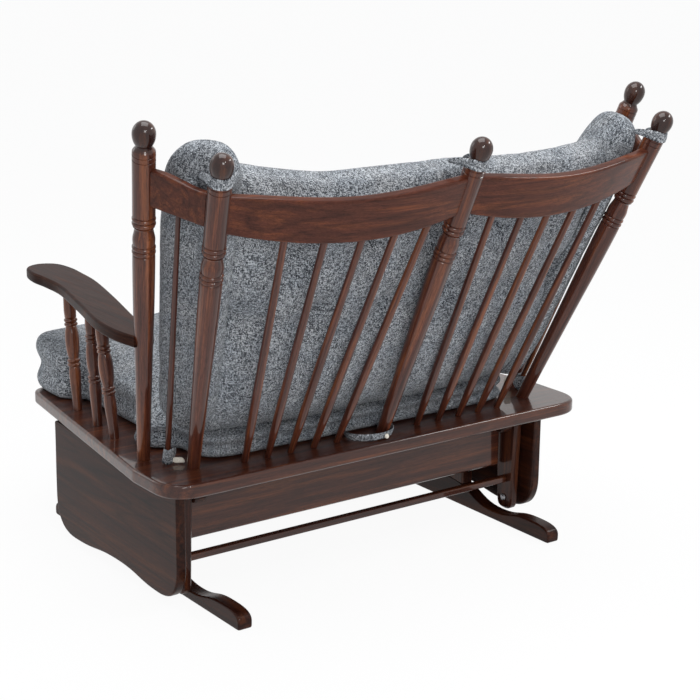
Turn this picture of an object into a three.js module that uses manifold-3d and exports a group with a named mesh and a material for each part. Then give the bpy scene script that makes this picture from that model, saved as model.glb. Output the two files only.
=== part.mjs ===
// A two-seat wooden glider bench: the seat, back and arms hang on four swing arms from a standing base.
// Sizes are in millimetres. x runs to the sitter's left, y to the rear and z up.
// Places are measured from the middle of the seat board's rear edge, and heights from the floor.
import * as THREE from "three";
import { mergeVertices } from "three/addons/utils/BufferGeometryUtils.js";
import Module from "manifold-3d";

const wasm = await Module();
wasm.setup();

// Shared by all pieces
const fitGap = 0.3;
const mergeTolerance = 0.0005;
const cutOverrun = 8;
const boardRound = 4;
const roundSteps = 1;
const boardCurveSteps = 4;
const turnSides = 12;
const thinTurnSides = 8;

// Seat board
const seatTop = 330;
const seatThickness = 32;
const seatDepth = 852;
const seatRearHalfWidth = 592;
const seatFrontHalfWidth = 500;
const seatParallelDepth = 165;
const seatRearCornerRadius = 91;
const seatFrontCornerRadius = 42;
const seatEdgeRound = 9;
const seatCornerSteps = 6;

// Posts: where each stands on the seat board, how far it leans, and its height to the finial's centre
const wingPostEdgeInset = 48;
const wingPostSetback = 211;
const wingPostSplay = 125;
const wingPostRake = 259;
const wingPostHeight = 759;
const cornerPostEdgeInset = 116;
const cornerPostSetback = 102;
const cornerPostSplay = 113;
const cornerPostRake = 315;
const cornerPostHeight = 712;
const middlePostSetback = 55;
const middlePostRake = 328;
const middlePostHeight = 705;

// Turning of the posts, by drops from the finial's centre
const finialRadius = 24;
const finialRise = 26.5;
const finialLowerRise = 35;
const finialNeckRadius = 17;
const finialSteps = 5;
const shoulderDrop = 13;
const postRadius = 23.5;
const postFootRadius = 14.5;
const postWaistRadius = 19.5;
const postWaistShare = 0.64;
const upperBeadsDrop = 190;
const lowerBeadsDrop = 257;
const beadPitch = 11;
const beadRadius = 24.2;
const beadGrooveRadius = 20.8;
const coveRadius = 19;
const coveDrop = 22;
const swellDrop = 46;

// Crest rails between the middle post and the corner posts
const crestThickness = 22;
const crestTopAtMiddle = 978;
const crestTopAtCorner = 982;
const crestBottomAtMiddle = 896;
const crestBottomAtCorner = 906;
const crestTopDip = 22;
const crestBelly = 38;
const crestBow = 40;
const crestSteps = 12;

// Crest rails of the wings
const wingRailThickness = 20;
const wingRailTopAtWing = 1019;
const wingRailTopAtCorner = 982;
const wingRailDepth = 74;
const wingRailSteps = 3;

// Eased edges of a rail, as shares of its height and of half its thickness
const railEaseShare = 0.05;
const railEdgeShare = 0.25;

// Back spindles, with their places between the middle post and a corner post as shares of that span
const spindleFootShares = [0.243, 0.378, 0.509, 0.639, 0.765];
const spindleTopShares = [0.155, 0.307, 0.451, 0.606, 0.76];
const spindleSetback = 70;
const spindleFootRadius = 7;
const spindleRadius = 9.8;
const spindleTopRadius = 7.8;
const spindleSwellShare = 0.8;
const spindleTenon = 12;
const wingSpindleRadius = 7;
const wingSpindleEndRadius = 5.5;
const wingSpindleShare = 0.48;

// Arms, with their outline as shares of the arm's length, sweep and width
const armTop = 644;
const armThickness = 26;
const armLength = 762;
const armWidth = 96;
const armSweep = 126;
const armEdgeRound = 7;
const armPlaceShares = [0, 0.1, 0.24, 0.45, 0.67, 0.8, 0.88, 0.95, 0.985];
const armSweepShares = [1, 0.95, 0.79, 0.45, 0.125, 0.04, 0.02, 0, 0];
const armWidthShares = [0.5, 0.78, 0.96, 1, 1.02, 1.08, 1.14, 0.98, 0.62];
const armOutlineSteps = 2;

// Arm spindles, from the rear to the front: where each stands, and how far its top leans out and forward
const armSpindleEdgeInset = 44;
const armSpindleSetbacks = [380, 489, 626];
const armSpindleSplays = [19, 8, -5];
const armSpindleForwards = [17, 5, 39];
const armSpindleRadius = 15.5;
const armSpindleTopRadius = 12;
const armSpindleFootRadius = 10;
const armSpindleGrooveRadius = 11;
const armSpindleBeadsDrop = 72;
const armSpindleBeadsSpan = 98;
const armSpindleBeadPitch = 10;
const armSpindleSides = 8;

// Side panels that hang from the seat board
const panelThickness = 24;
const panelEdgeInset = 62;
const panelRearSetback = 85;
const panelFrontSetback = 667;
const panelFrontBulge = 3;
const panelBottom = 22;
const panelWaveRise = 15;
const panelWaveSetback = 360;
const panelRearCorner = 88;
const panelFrontCorner = 90;

// Base: feet, uprights, top rails and aprons, alike to the front and to the rear of its middle
const baseMiddleSetback = 375;
const baseBoardThickness = 36;
const footHalfLength = 437;
const footCrownHeight = 66;
const footCrownHalfLength = 50;
const footWaistHeight = 23;
const footWaistPlace = 228;
const footHumpHeight = 41;
const footHumpPlace = 361;
const footNoseHeight = 17;
const footNoseRound = 15;
const uprightHalfDepth = 105;
const topRailHalfDepth = 258;
const topRailTop = 291;
const topRailDepth = 56;
const topRailEndRadius = 20;
const apronThickness = 20;
const apronPlace = 210;
const apronBottom = 136;
const apronRailSetin = 4;
const apronTopGap = 6;

// Swing arms and their stretcher bars
const sideRunningGap = 4;
const panelRunningGap = 12;
const swingArmThickness = 24;
const swingArmTopWidth = 74;
const swingArmBottomWidth = 52;
const pivotPlace = 223;
const upperPivotHeight = 266;
const lowerPivotHeight = 51;
const swingArmTopReach = 23;
const swingArmBottomReach = 30;
const swingArmTopRadius = 26;
const swingArmBottomRadius = 22;
const barHeight = 16;
const barThickness = 19;
const barPivotRise = 50;

// Pivot bolts
const boltRadius = 5;
const boltHeadRadius = 9;
const boltHeadHeight = 5;
const boltNutHeight = 6;
const boltSides = 12;
const boltSeatDepth = 12;

// Shape of the pillows: a higher corner power makes squarer corners
const boxCornerPower = 12;
const padCornerPower = 5;
const pillowCrownPower = 4;

// Seat cushion
const seatCushionSetback = 96;
const seatCushionDepth = 804;
const seatCushionSideGap = 20.8;
const seatCushionEar = 48;
const seatCushionRearEar = 60;
const seatCushionEarLength = 60;
const seatCushionCrown = 150;
const seatCushionRearEdge = 50;
const seatCushionFrontEdge = 138;
const seatCushionRound = 24;
const seatCushionCrease = 12;

// Back cushion, with the heights of its ends and tufts taken where the posts' slope passes behind them
const backCushionBottom = 347;
const backCushionTop = 951;
const backCushionEndRise = 14;
const backCushionThickness = 142;
const backCushionEdge = 62;
const backCushionRound = 20;
const backCushionPostGap = 13;
const backCushionEndInset = 10;
const backCushionBow = 22;
const tuftPitch = 178;
const tuftHeights = [808, 658];
const tuftDepth = 18;
const tuftRadius = 48;

// Wing pads, with their ends' places along the wing rail as shares of the rail's span
const wingPadBottom = 412;
const wingPadTop = 1014;
const wingPadCrest = 28;
const wingPadThickness = 80;
const wingPadEdge = 44;
const wingPadRound = 16;
const wingPadPostGap = 5;
const wingPadFrontShare = 0;
const wingPadRearShare = 1.1;

// Finishes
const woodLook = { color: 0x3a1c14, roughness: 0.35, metalness: 0 };
const steelLook = { color: 0x5c5f63, roughness: 0.35, metalness: 0.9 };
const fabricLook = { color: 0x8b8f93, roughness: 0.95, metalness: 0 };

const bench = new THREE.Group();
const base = new THREE.Group();
const rearSwing = new THREE.Group();
const frontSwing = new THREE.Group();
const seat = new THREE.Group();
bench.add(base, rearSwing, frontSwing, seat);

const { lerp, smoothstep } = THREE.MathUtils;
const latheAxis = new THREE.Vector3(0, 1, 0);

// Joins the shared corners of a closed geometry and makes a solid of it
function toSolid(geometry) {
  const bare = geometry.clone();
  bare.deleteAttribute("normal");
  bare.deleteAttribute("uv");
  const merged = mergeVertices(bare, mergeTolerance);
  const corners = merged.index.array;
  const triangles = [];
  for (let i = 0; i < corners.length; i += 3) {
    const [a, b, c] = corners.slice(i, i + 3);
    if (a !== b && b !== c && c !== a) triangles.push(a, b, c);
  }
  const vertProperties = new Float32Array(merged.attributes.position.array);
  const mesh = new wasm.Mesh({ numProp: 3, vertProperties, triVerts: new Uint32Array(triangles) });
  return new wasm.Manifold(mesh);
}

function toGeometry(solid) {
  const mesh = solid.getMesh();
  const joined = new THREE.BufferGeometry();
  joined.setAttribute("position", new THREE.BufferAttribute(new Float32Array(mesh.vertProperties), 3));
  joined.setIndex(new THREE.BufferAttribute(new Uint32Array(mesh.triVerts), 1));
  const flat = joined.toNonIndexed();
  flat.computeVertexNormals();
  return flat;
}

function cut(geometry, ...cutters) {
  return toGeometry(cutters.reduce((rest, cutter) => rest.subtract(toSolid(cutter)), toSolid(geometry)));
}

// Cuts shapes that are given in the bench's frame away from a placed mesh
function trim(mesh, ...cutters) {
  mesh.updateMatrix();
  const toLocal = mesh.matrix.clone().invert();
  mesh.geometry = cut(mesh.geometry, ...cutters.map((cutter) => cutter.clone().applyMatrix4(toLocal)));
  return mesh;
}

function piece(group, name, geometry, look) {
  const mesh = new THREE.Mesh(geometry, new THREE.MeshStandardMaterial(look));
  mesh.name = name;
  group.add(mesh);
  return mesh;
}

// Moves every corner of a closed geometry to the place that a function gives for it, and faces it outwards
function warp(geometry, place) {
  const loose = geometry.index ? geometry.toNonIndexed() : geometry;
  const p = loose.attributes.position;
  const spot = new THREE.Vector3();
  for (let i = 0; i < p.count; i += 1) {
    const to = place(spot.fromBufferAttribute(p, i));
    p.setXYZ(i, to.x, to.y, to.z);
  }
  const corner = [new THREE.Vector3(), new THREE.Vector3(), new THREE.Vector3()];
  let volume = 0;
  for (let i = 0; i < p.count; i += 3) {
    corner.forEach((v, k) => v.fromBufferAttribute(p, i + k));
    volume += corner[0].dot(corner[1].cross(corner[2]));
  }
  if (volume < 0) {
    for (let i = 0; i < p.count; i += 3) {
      corner.forEach((v, k) => v.fromBufferAttribute(p, i + k));
      p.setXYZ(i + 1, corner[2].x, corner[2].y, corner[2].z);
      p.setXYZ(i + 2, corner[1].x, corner[1].y, corner[1].z);
    }
  }
  loose.deleteAttribute("uv");
  loose.computeVertexNormals();
  return loose;
}

// An outline with rounded corners, each given as [across, up, radius]
function roundedOutline(corners) {
  const shape = new THREE.Shape();
  const count = corners.length;
  corners.forEach(([a, b, radius], i) => {
    const corner = new THREE.Vector2(a, b);
    const [beforeA, beforeB] = corners[(i + count - 1) % count];
    const [afterA, afterB] = corners[(i + 1) % count];
    const before = new THREE.Vector2(beforeA, beforeB).sub(corner);
    const after = new THREE.Vector2(afterA, afterB).sub(corner);
    const half = Math.abs(before.angleTo(after)) / 2;
    const back = Math.min(radius / Math.tan(half), before.length() / 2, after.length() / 2);
    const start = before.setLength(back).add(corner);
    const end = after.setLength(back).add(corner);
    if (i === 0) shape.moveTo(start.x, start.y);
    else shape.lineTo(start.x, start.y);
    if (radius > 0) shape.quadraticCurveTo(corner.x, corner.y, end.x, end.y);
  });
  shape.closePath();
  return shape;
}

// A rectangle with square or rounded corners
function rectangle(a0, a1, b0, b1, radius = 0) {
  return roundedOutline([
    [a0, b0, radius],
    [a1, b0, radius],
    [a1, b1, radius],
    [a0, b1, radius],
  ]);
}

// A board with this outline and eased edges, from 0 to its thickness along z
function board(outline, thickness, round = boardRound, curveSegments = boardCurveSteps) {
  const geometry = new THREE.ExtrudeGeometry(outline, {
    depth: thickness - 2 * round,
    bevelThickness: round,
    bevelSize: round,
    bevelOffset: -round,
    bevelSegments: roundSteps,
    curveSegments,
  });
  return geometry.translate(0, 0, round);
}

// Stands a board on edge, so that its outline lies along y and z and its thickness along x
const onEdge = new THREE.Matrix4().makeBasis(
  new THREE.Vector3(0, 1, 0),
  new THREE.Vector3(0, 0, 1),
  new THREE.Vector3(1, 0, 0),
);

// Stands a board across the bench, so that its outline lies along x and z and its thickness along y
const acrossBench = new THREE.Matrix4().makeBasis(
  new THREE.Vector3(-1, 0, 0),
  new THREE.Vector3(0, 0, 1),
  new THREE.Vector3(0, 1, 0),
);

// A board on edge at one side of the bench, from its inner face outwards
function sideBoard(group, name, outline, inner, thickness, side) {
  const mesh = piece(group, name, board(outline, thickness).applyMatrix4(onEdge), woodLook);
  mesh.position.x = side > 0 ? inner : -inner - thickness;
  return mesh;
}

function block(x0, x1, y0, y1, z0, z1) {
  const box = new THREE.BoxGeometry(x1 - x0, y1 - y0, z1 - z0);
  return box.translate((x0 + x1) / 2, (y0 + y1) / 2, (z0 + z1) / 2);
}

// A straight axis through two points
function axis(foot, top) {
  const up = top.clone().sub(foot).normalize();
  const at = (z) => foot.clone().lerp(top, (z - foot.z) / (top.z - foot.z));
  return { foot, top, up, at, length: foot.distanceTo(top) };
}

// A turned shape that hangs from the origin: its profile is [distance down, radius]
function turned(profile, sides, grow = 0) {
  const more = grow / Math.cos(Math.PI / sides);
  const points = profile.map(([down, radius]) => new THREE.Vector2(radius > 0 ? radius + more : 0, -down));
  return new THREE.LatheGeometry(points.reverse(), sides);
}

// A turned piece along an axis, its profile measured down from the axis's top
function turn(group, name, line, profile, sides, look) {
  const mesh = piece(group, name, turned(profile, sides), look);
  mesh.quaternion.setFromUnitVectors(latheAxis, line.up);
  mesh.position.copy(line.top);
  return mesh;
}

// What a neighbour keeps clear of: a turned piece grown by the gap, in the bench's frame
function clearOf(line, profile, sides) {
  const turning = new THREE.Quaternion().setFromUnitVectors(latheAxis, line.up);
  const grown = turned(profile, sides, fitGap).applyQuaternion(turning);
  return grown.translate(line.top.x, line.top.y, line.top.z);
}

// What stands on the seat board ends just above it
function standOnSeat(mesh) {
  const wide = 2 * seatRearHalfWidth;
  return trim(mesh, block(-wide, wide, -wide, wide, -wide, seatTop + fitGap));
}

function sideName(side) {
  return side > 0 ? "left" : "right";
}

// Seat board
const seatBottom = seatTop - seatThickness;

function seatHalfWidthAt(setback) {
  const past = Math.max(0, setback - seatParallelDepth);
  return lerp(seatRearHalfWidth, seatFrontHalfWidth, past / (seatDepth - seatParallelDepth));
}

function makeSeatBoard() {
  const outline = roundedOutline([
    [-seatRearHalfWidth, 0, seatRearCornerRadius],
    [-seatRearHalfWidth, -seatParallelDepth, seatRearCornerRadius],
    [-seatFrontHalfWidth, -seatDepth, seatFrontCornerRadius],
    [seatFrontHalfWidth, -seatDepth, seatFrontCornerRadius],
    [seatRearHalfWidth, -seatParallelDepth, seatRearCornerRadius],
    [seatRearHalfWidth, 0, seatRearCornerRadius],
  ]);
  const geometry = board(outline, seatThickness, seatEdgeRound, seatCornerSteps);
  piece(seat, "seat_board", geometry, woodLook).position.z = seatBottom;
}

// Axes of what stands on the seat board, for side 1 (left) or -1 (right)
function leaning(x, setback, splay, rake, height) {
  const foot = new THREE.Vector3(x, -setback, seatTop);
  return axis(foot, foot.clone().add(new THREE.Vector3(splay, rake, height)));
}

function wingAxis(side) {
  const x = side * (seatHalfWidthAt(wingPostSetback) - wingPostEdgeInset);
  return leaning(x, wingPostSetback, side * wingPostSplay, wingPostRake, wingPostHeight);
}

function cornerAxis(side) {
  const x = side * (seatRearHalfWidth - cornerPostEdgeInset);
  return leaning(x, cornerPostSetback, side * cornerPostSplay, cornerPostRake, cornerPostHeight);
}

function middleAxis() {
  return leaning(0, middlePostSetback, 0, middlePostRake, middlePostHeight);
}

// Two beads with a groove before, between and after them
function beadPair(down, pitch, bead, groove) {
  return [
    [down - pitch / 2, groove],
    [down, bead],
    [down + pitch / 2, groove],
    [down + pitch, bead],
    [down + (pitch * 3) / 2, groove],
  ];
}

function postProfile(line) {
  const finial = [];
  for (let k = 0; k <= finialSteps; k += 1) {
    const angle = (Math.PI / 2) * (1 - k / finialSteps);
    finial.push([-finialRise * Math.sin(angle), k > 0 ? finialRadius * Math.cos(angle) : 0]);
  }
  const neckAngle = Math.acos(finialNeckRadius / finialRadius);
  for (const part of [1 / 2, 1]) {
    finial.push([finialLowerRise * Math.sin(neckAngle * part), finialRadius * Math.cos(neckAngle * part)]);
  }
  const neckDrop = finialLowerRise * Math.sin(neckAngle);
  const end = line.length + postRadius;
  return [
    ...finial,
    [neckDrop + shoulderDrop, postRadius],
    [upperBeadsDrop - beadPitch, postRadius],
    ...beadPair(upperBeadsDrop, beadPitch, beadRadius, beadGrooveRadius),
    [upperBeadsDrop + coveDrop, coveRadius],
    [upperBeadsDrop + swellDrop, postRadius],
    ...beadPair(lowerBeadsDrop, beadPitch, beadRadius, beadGrooveRadius),
    [lowerBeadsDrop + 2 * beadPitch, postRadius],
    [line.length * postWaistShare, postWaistRadius],
    [line.length, postFootRadius],
    [end, postFootRadius],
    [end, 0],
  ];
}

function makePost(name, line) {
  standOnSeat(turn(seat, name, line, postProfile(line), turnSides, woodLook));
}

function clearOfPost(line) {
  return clearOf(line, postProfile(line), turnSides);
}

// A rail between two post axes: lower and upper give its edges' heights at a share of the span
function railBetween(from, to, { lower, upper, thickness, bow, steps }, grow = 0) {
  const section = new THREE.Shape([
    new THREE.Vector2(-1, railEaseShare),
    new THREE.Vector2(-1 + railEdgeShare, 0),
    new THREE.Vector2(1 - railEdgeShare, 0),
    new THREE.Vector2(1, railEaseShare),
    new THREE.Vector2(1, 1 - railEaseShare),
    new THREE.Vector2(1 - railEdgeShare, 1),
    new THREE.Vector2(-1 + railEdgeShare, 1),
    new THREE.Vector2(-1, 1 - railEaseShare),
  ]);
  const unit = new THREE.ExtrudeGeometry(section, { depth: 1, steps, bevelEnabled: false });
  return warp(unit, (spot) => {
    const share = spot.z;
    const low = lower(share) - grow;
    const high = upper(share) + grow;
    const z = low + (high - low) * spot.y;
    const start = from.at(z);
    const end = to.at(z);
    const along = end.clone().sub(start);
    along.y += 4 * bow * (1 - 2 * share);
    const outward = along.cross(from.up).normalize();
    const middle = start.lerp(end, share);
    middle.y += bowed(bow, share);
    return middle.addScaledVector(outward, spot.x * (thickness / 2 + grow));
  });
}

// How far a bow of a given depth stands out at a share of its span
function bowed(depth, share) {
  return 4 * depth * share * (1 - share);
}

const crest = {
  lower: (share) => lerp(crestBottomAtMiddle, crestBottomAtCorner, share) - bowed(crestBelly, share),
  upper: (share) => lerp(crestTopAtMiddle, crestTopAtCorner, share) - bowed(crestTopDip, share),
  thickness: crestThickness,
  bow: crestBow,
  steps: crestSteps,
};

const wingCrest = {
  lower: (share) => lerp(wingRailTopAtWing, wingRailTopAtCorner, share) - wingRailDepth,
  upper: (share) => lerp(wingRailTopAtWing, wingRailTopAtCorner, share),
  thickness: wingRailThickness,
  bow: 0,
  steps: wingRailSteps,
};

function makeRail(name, from, to, form) {
  trim(piece(seat, name, railBetween(from, to, form), woodLook), clearOfPost(from), clearOfPost(to));
}

// A plain spindle that stands on the seat board and ends against the rail above it
function makeSpindle(name, foot, from, to, form, share, radii) {
  const height = form.lower(share);
  const top = from.at(height).lerp(to.at(height), share);
  top.y += bowed(form.bow, share);
  const line = axis(foot, top);
  const end = line.length + cutOverrun;
  const profile = [
    [-spindleTenon, 0],
    [-spindleTenon, radii.top],
    [0, radii.top],
    [line.length * spindleSwellShare, radii.swell],
    [line.length, radii.foot],
    [end, radii.foot],
    [end, 0],
  ];
  const mesh = turn(seat, name, line, profile, thinTurnSides, woodLook);
  trim(standOnSeat(mesh), railBetween(from, to, form, fitGap));
}

function makeBack() {
  const middle = middleAxis();
  makePost("middle_post", middle);
  for (const side of [1, -1]) {
    const hand = sideName(side);
    const corner = cornerAxis(side);
    const wing = wingAxis(side);
    makePost(`${hand}_corner_post`, corner);
    makePost(`${hand}_wing_post`, wing);
    makeRail(`${hand}_crest_rail`, middle, corner, crest);
    makeRail(`${hand}_wing_rail`, wing, corner, wingCrest);
    spindleFootShares.forEach((footShare, i) => {
      const foot = new THREE.Vector3(corner.foot.x * footShare, -spindleSetback, seatTop);
      const radii = { top: spindleTopRadius, swell: spindleRadius, foot: spindleFootRadius };
      const name = `${hand}_back_spindle_${i + 1}`;
      makeSpindle(name, foot, middle, corner, crest, spindleTopShares[i], radii);
    });
    const foot = wing.foot.clone().lerp(corner.foot, wingSpindleShare);
    const radii = { top: wingSpindleEndRadius, swell: wingSpindleRadius, foot: wingSpindleEndRadius };
    makeSpindle(`${hand}_wing_spindle`, foot, wing, corner, wingCrest, wingSpindleShare, radii);
  }
}

// Arms and their spindles
const armBottom = armTop - armThickness;

function makeArm(side) {
  const post = wingAxis(side);
  const rear = post.at(armTop);
  const frontX = rear.x - side * armSweep;
  const edge = (way) =>
    armPlaceShares.map((share, i) => {
      const x = frontX + side * armSweep * armSweepShares[i];
      return new THREE.Vector2(x + (way * armWidth * armWidthShares[i]) / 2, rear.y - armLength * share);
    });
  const tip = new THREE.Vector2(frontX, rear.y - armLength);
  const outline = new THREE.Shape();
  const [start, ...rest] = edge(-1);
  outline.moveTo(start.x, start.y);
  outline.splineThru([...rest, tip, ...edge(1).reverse()]);
  outline.closePath();
  const geometry = board(outline, armThickness, armEdgeRound, armOutlineSteps);
  const mesh = piece(seat, `${sideName(side)}_arm`, geometry, woodLook);
  mesh.position.z = armBottom;
  trim(mesh, clearOfPost(post));
}

function armSpindleProfile(line) {
  const end = line.length + cutOverrun;
  const lowerBeads = armSpindleBeadsDrop + armSpindleBeadsSpan;
  return [
    [-cutOverrun, 0],
    [-cutOverrun, armSpindleTopRadius],
    [armSpindleBeadsDrop - armSpindleBeadPitch, armSpindleTopRadius],
    ...beadPair(armSpindleBeadsDrop, armSpindleBeadPitch, armSpindleRadius, armSpindleGrooveRadius),
    [armSpindleBeadsDrop + armSpindleBeadsSpan / 2, armSpindleRadius],
    [lowerBeads - armSpindleBeadPitch, armSpindleTopRadius],
    ...beadPair(lowerBeads, armSpindleBeadPitch, armSpindleRadius, armSpindleGrooveRadius),
    [lowerBeads + armSpindleBeadsSpan / 2, armSpindleTopRadius],
    [line.length, armSpindleFootRadius],
    [end, armSpindleFootRadius],
    [end, 0],
  ];
}

function makeArmSpindles(side) {
  const wide = 2 * seatRearHalfWidth;
  const above = block(-wide, wide, -wide, wide, armBottom - fitGap, armTop + wide);
  armSpindleSetbacks.forEach((setback, i) => {
    const x = side * (seatHalfWidthAt(setback) - armSpindleEdgeInset);
    const height = armBottom - seatTop;
    const line = leaning(x, setback, side * armSpindleSplays[i], -armSpindleForwards[i], height);
    const name = `${sideName(side)}_arm_spindle_${i + 1}`;
    const mesh = turn(seat, name, line, armSpindleProfile(line), armSpindleSides, woodLook);
    trim(standOnSeat(mesh), above);
  });
}

// Base: places along y are given from its middle, toward its rear end (1) or its front end (-1)
function basePlace(end, place) {
  return end * place - baseMiddleSetback;
}

// Places along x, from a side panel inwards: the swing arms hang between the panels and the base's boards
const panelOuterPlace = seatRearHalfWidth - panelEdgeInset;
const panelInnerPlace = panelOuterPlace - panelThickness;
const swingOuterPlace = panelInnerPlace - panelRunningGap;
const swingInnerPlace = swingOuterPlace - swingArmThickness;
const baseOuterPlace = swingInnerPlace - sideRunningGap;
const baseInnerPlace = baseOuterPlace - baseBoardThickness;
const railBottom = topRailTop - topRailDepth;

// A foot's outline: curves run from the sole up over nose, hump and waist to the crown, alike at both ends
function footOutline() {
  const nose = (footHalfLength - footHumpPlace) / 2;
  const dip = (footHumpPlace - footWaistPlace) / 2;
  const swell = (footWaistPlace - footCrownHalfLength) / 2;
  const half = [
    [footHalfLength - footNoseRound, 0],
    [footHalfLength, 0],
    [footHalfLength, 0],
    [footHalfLength, footNoseHeight],
    [footHalfLength, footHumpHeight],
    [footHumpPlace + nose, footHumpHeight],
    [footHumpPlace, footHumpHeight],
    [footHumpPlace - dip, footHumpHeight],
    [footWaistPlace + dip, footWaistHeight],
    [footWaistPlace, footWaistHeight],
    [footWaistPlace - swell, footWaistHeight],
    [footCrownHalfLength + swell, footCrownHeight],
    [footCrownHalfLength, footCrownHeight],
  ];
  const [rear, front] = [1, -1].map((end) => half.map(([place, z]) => [basePlace(end, place), z]));
  const outline = new THREE.Shape();
  outline.moveTo(...rear[0]);
  for (const path of [rear, front.reverse()]) {
    outline.lineTo(...path[0]);
    for (let i = 1; i < path.length; i += 3) {
      outline.bezierCurveTo(...path[i], ...path[i + 1], ...path[i + 2]);
    }
  }
  outline.closePath();
  return outline;
}

function makeBaseSide(side) {
  const hand = sideName(side);
  const [front, rear] = [-uprightHalfDepth, uprightHalfDepth].map((place) => basePlace(1, place));
  const [railFront, railRear] = [-topRailHalfDepth, topRailHalfDepth].map((place) => basePlace(1, place));
  sideBoard(base, `${hand}_foot`, footOutline(), baseInnerPlace, baseBoardThickness, side);

  const upright = rectangle(front, rear, 0, railBottom - fitGap);
  const mesh = sideBoard(base, `${hand}_upright`, upright, baseInnerPlace, baseBoardThickness, side);
  const wide = baseBoardThickness + 2 * cutOverrun;
  const options = { depth: wide, bevelEnabled: false, curveSegments: boardCurveSteps };
  const below = new THREE.ExtrudeGeometry(footOutline(), options);
  below.applyMatrix4(onEdge).translate(mesh.position.x - cutOverrun, 0, fitGap);
  const underSole = block(-seatDepth, seatDepth, -2 * seatDepth, seatDepth, -cutOverrun, footWaistHeight);
  trim(mesh, below, underSole);

  const rail = rectangle(railFront, railRear, railBottom, topRailTop, topRailEndRadius);
  const railMesh = sideBoard(base, `${hand}_top_rail`, rail, baseInnerPlace, baseBoardThickness, side);
  trim(railMesh, ...[1, -1].map((end) => boltHole(upperBolt(side, end))));
}

// An apron is as wide as the base under the top rails and fits between them above
function makeApron(name, end) {
  const low = baseOuterPlace - apronRailSetin;
  const high = baseInnerPlace - fitGap;
  const step = railBottom - fitGap;
  const top = seatBottom - apronTopGap;
  const outline = roundedOutline([
    [-low, apronBottom, 0],
    [low, apronBottom, 0],
    [low, step, 0],
    [high, step, 0],
    [high, top, 0],
    [-high, top, 0],
    [-high, step, 0],
    [-low, step, 0],
  ]);
  const mesh = piece(base, name, board(outline, apronThickness).applyMatrix4(acrossBench), woodLook);
  mesh.position.y = basePlace(end, apronPlace) - (end > 0 ? apronThickness : 0);
}

function makeSwingArm(group, name, side, end) {
  const middle = basePlace(end, pivotPlace);
  const bottom = lowerPivotHeight - swingArmBottomReach;
  const top = upperPivotHeight + swingArmTopReach;
  const outline = roundedOutline([
    [middle - swingArmBottomWidth / 2, bottom, swingArmBottomRadius],
    [middle + swingArmBottomWidth / 2, bottom, swingArmBottomRadius],
    [middle + swingArmTopWidth / 2, top, swingArmTopRadius],
    [middle - swingArmTopWidth / 2, top, swingArmTopRadius],
  ]);
  const mesh = sideBoard(group, name, outline, swingInnerPlace, swingArmThickness, side);
  trim(mesh, boltHole(upperBolt(side, end)), boltHole(lowerBolt(side, end)));
}

function makeStretcher(group, name, end) {
  const half = swingInnerPlace - fitGap;
  const bottom = lowerPivotHeight + barPivotRise - barHeight / 2;
  const outline = rectangle(-half, half, bottom, bottom + barHeight);
  const geometry = board(outline, barThickness, boardRound / 2).applyMatrix4(acrossBench);
  const mesh = piece(group, name, geometry, woodLook);
  mesh.position.y = basePlace(end, pivotPlace) - barThickness / 2;
}

// Pivot bolts lie along x, with the outer end as their axis's top
function boltAxis(side, end, inner, outer, height) {
  const y = basePlace(end, pivotPlace);
  return axis(new THREE.Vector3(side * inner, y, height), new THREE.Vector3(side * outer, y, height));
}

function upperBolt(side, end) {
  const inner = baseInnerPlace - fitGap - boltHeadHeight;
  const line = boltAxis(side, end, inner, swingOuterPlace + fitGap + boltNutHeight, upperPivotHeight);
  const profile = [
    [0, 0],
    [0, boltHeadRadius],
    [boltNutHeight, boltHeadRadius],
    [boltNutHeight, boltRadius],
    [line.length - boltHeadHeight, boltRadius],
    [line.length - boltHeadHeight, boltHeadRadius],
    [line.length, boltHeadRadius],
    [line.length, 0],
  ];
  return { line, profile };
}

// A lower bolt ends in a blind bore in the side panel, and its collar keeps the swing arm off the panel
function lowerBolt(side, end) {
  const inner = swingInnerPlace - fitGap - boltHeadHeight;
  const outer = panelInnerPlace + boltSeatDepth - fitGap;
  const line = boltAxis(side, end, inner, outer, lowerPivotHeight);
  const collarStart = outer - (panelInnerPlace - fitGap);
  const collarEnd = outer - (swingOuterPlace + fitGap);
  const profile = [
    [0, 0],
    [0, boltRadius],
    [collarStart, boltRadius],
    [collarStart, boltHeadRadius],
    [collarEnd, boltHeadRadius],
    [collarEnd, boltRadius],
    [line.length - boltHeadHeight, boltRadius],
    [line.length - boltHeadHeight, boltHeadRadius],
    [line.length - boltHeadHeight / 2, boltHeadRadius],
    [line.length, boltHeadRadius / 2],
    [line.length, 0],
  ];
  return { line, profile };
}

// The bore for a bolt's shank, all along the bolt
function boltHole({ line }) {
  const bore = [
    [-fitGap, 0],
    [-fitGap, boltRadius],
    [line.length + cutOverrun, boltRadius],
    [line.length + cutOverrun, 0],
  ];
  return clearOf(line, bore, boltSides);
}

function makeBolt(group, name, { line, profile }) {
  turn(group, name, line, profile, boltSides, steelLook);
}

function makeSwing(group, end) {
  const hung = end > 0 ? "rear" : "front";
  for (const side of [1, -1]) {
    const hand = sideName(side);
    makeSwingArm(group, `${hand}_${hung}_swing_arm`, side, end);
    makeBolt(base, `${hand}_${hung}_upper_bolt`, upperBolt(side, end));
    makeBolt(seat, `${hand}_${hung}_lower_bolt`, lowerBolt(side, end));
  }
  makeStretcher(group, `${hung}_stretcher_bar`, end);
  makeApron(`${hung}_apron`, end);
}

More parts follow.
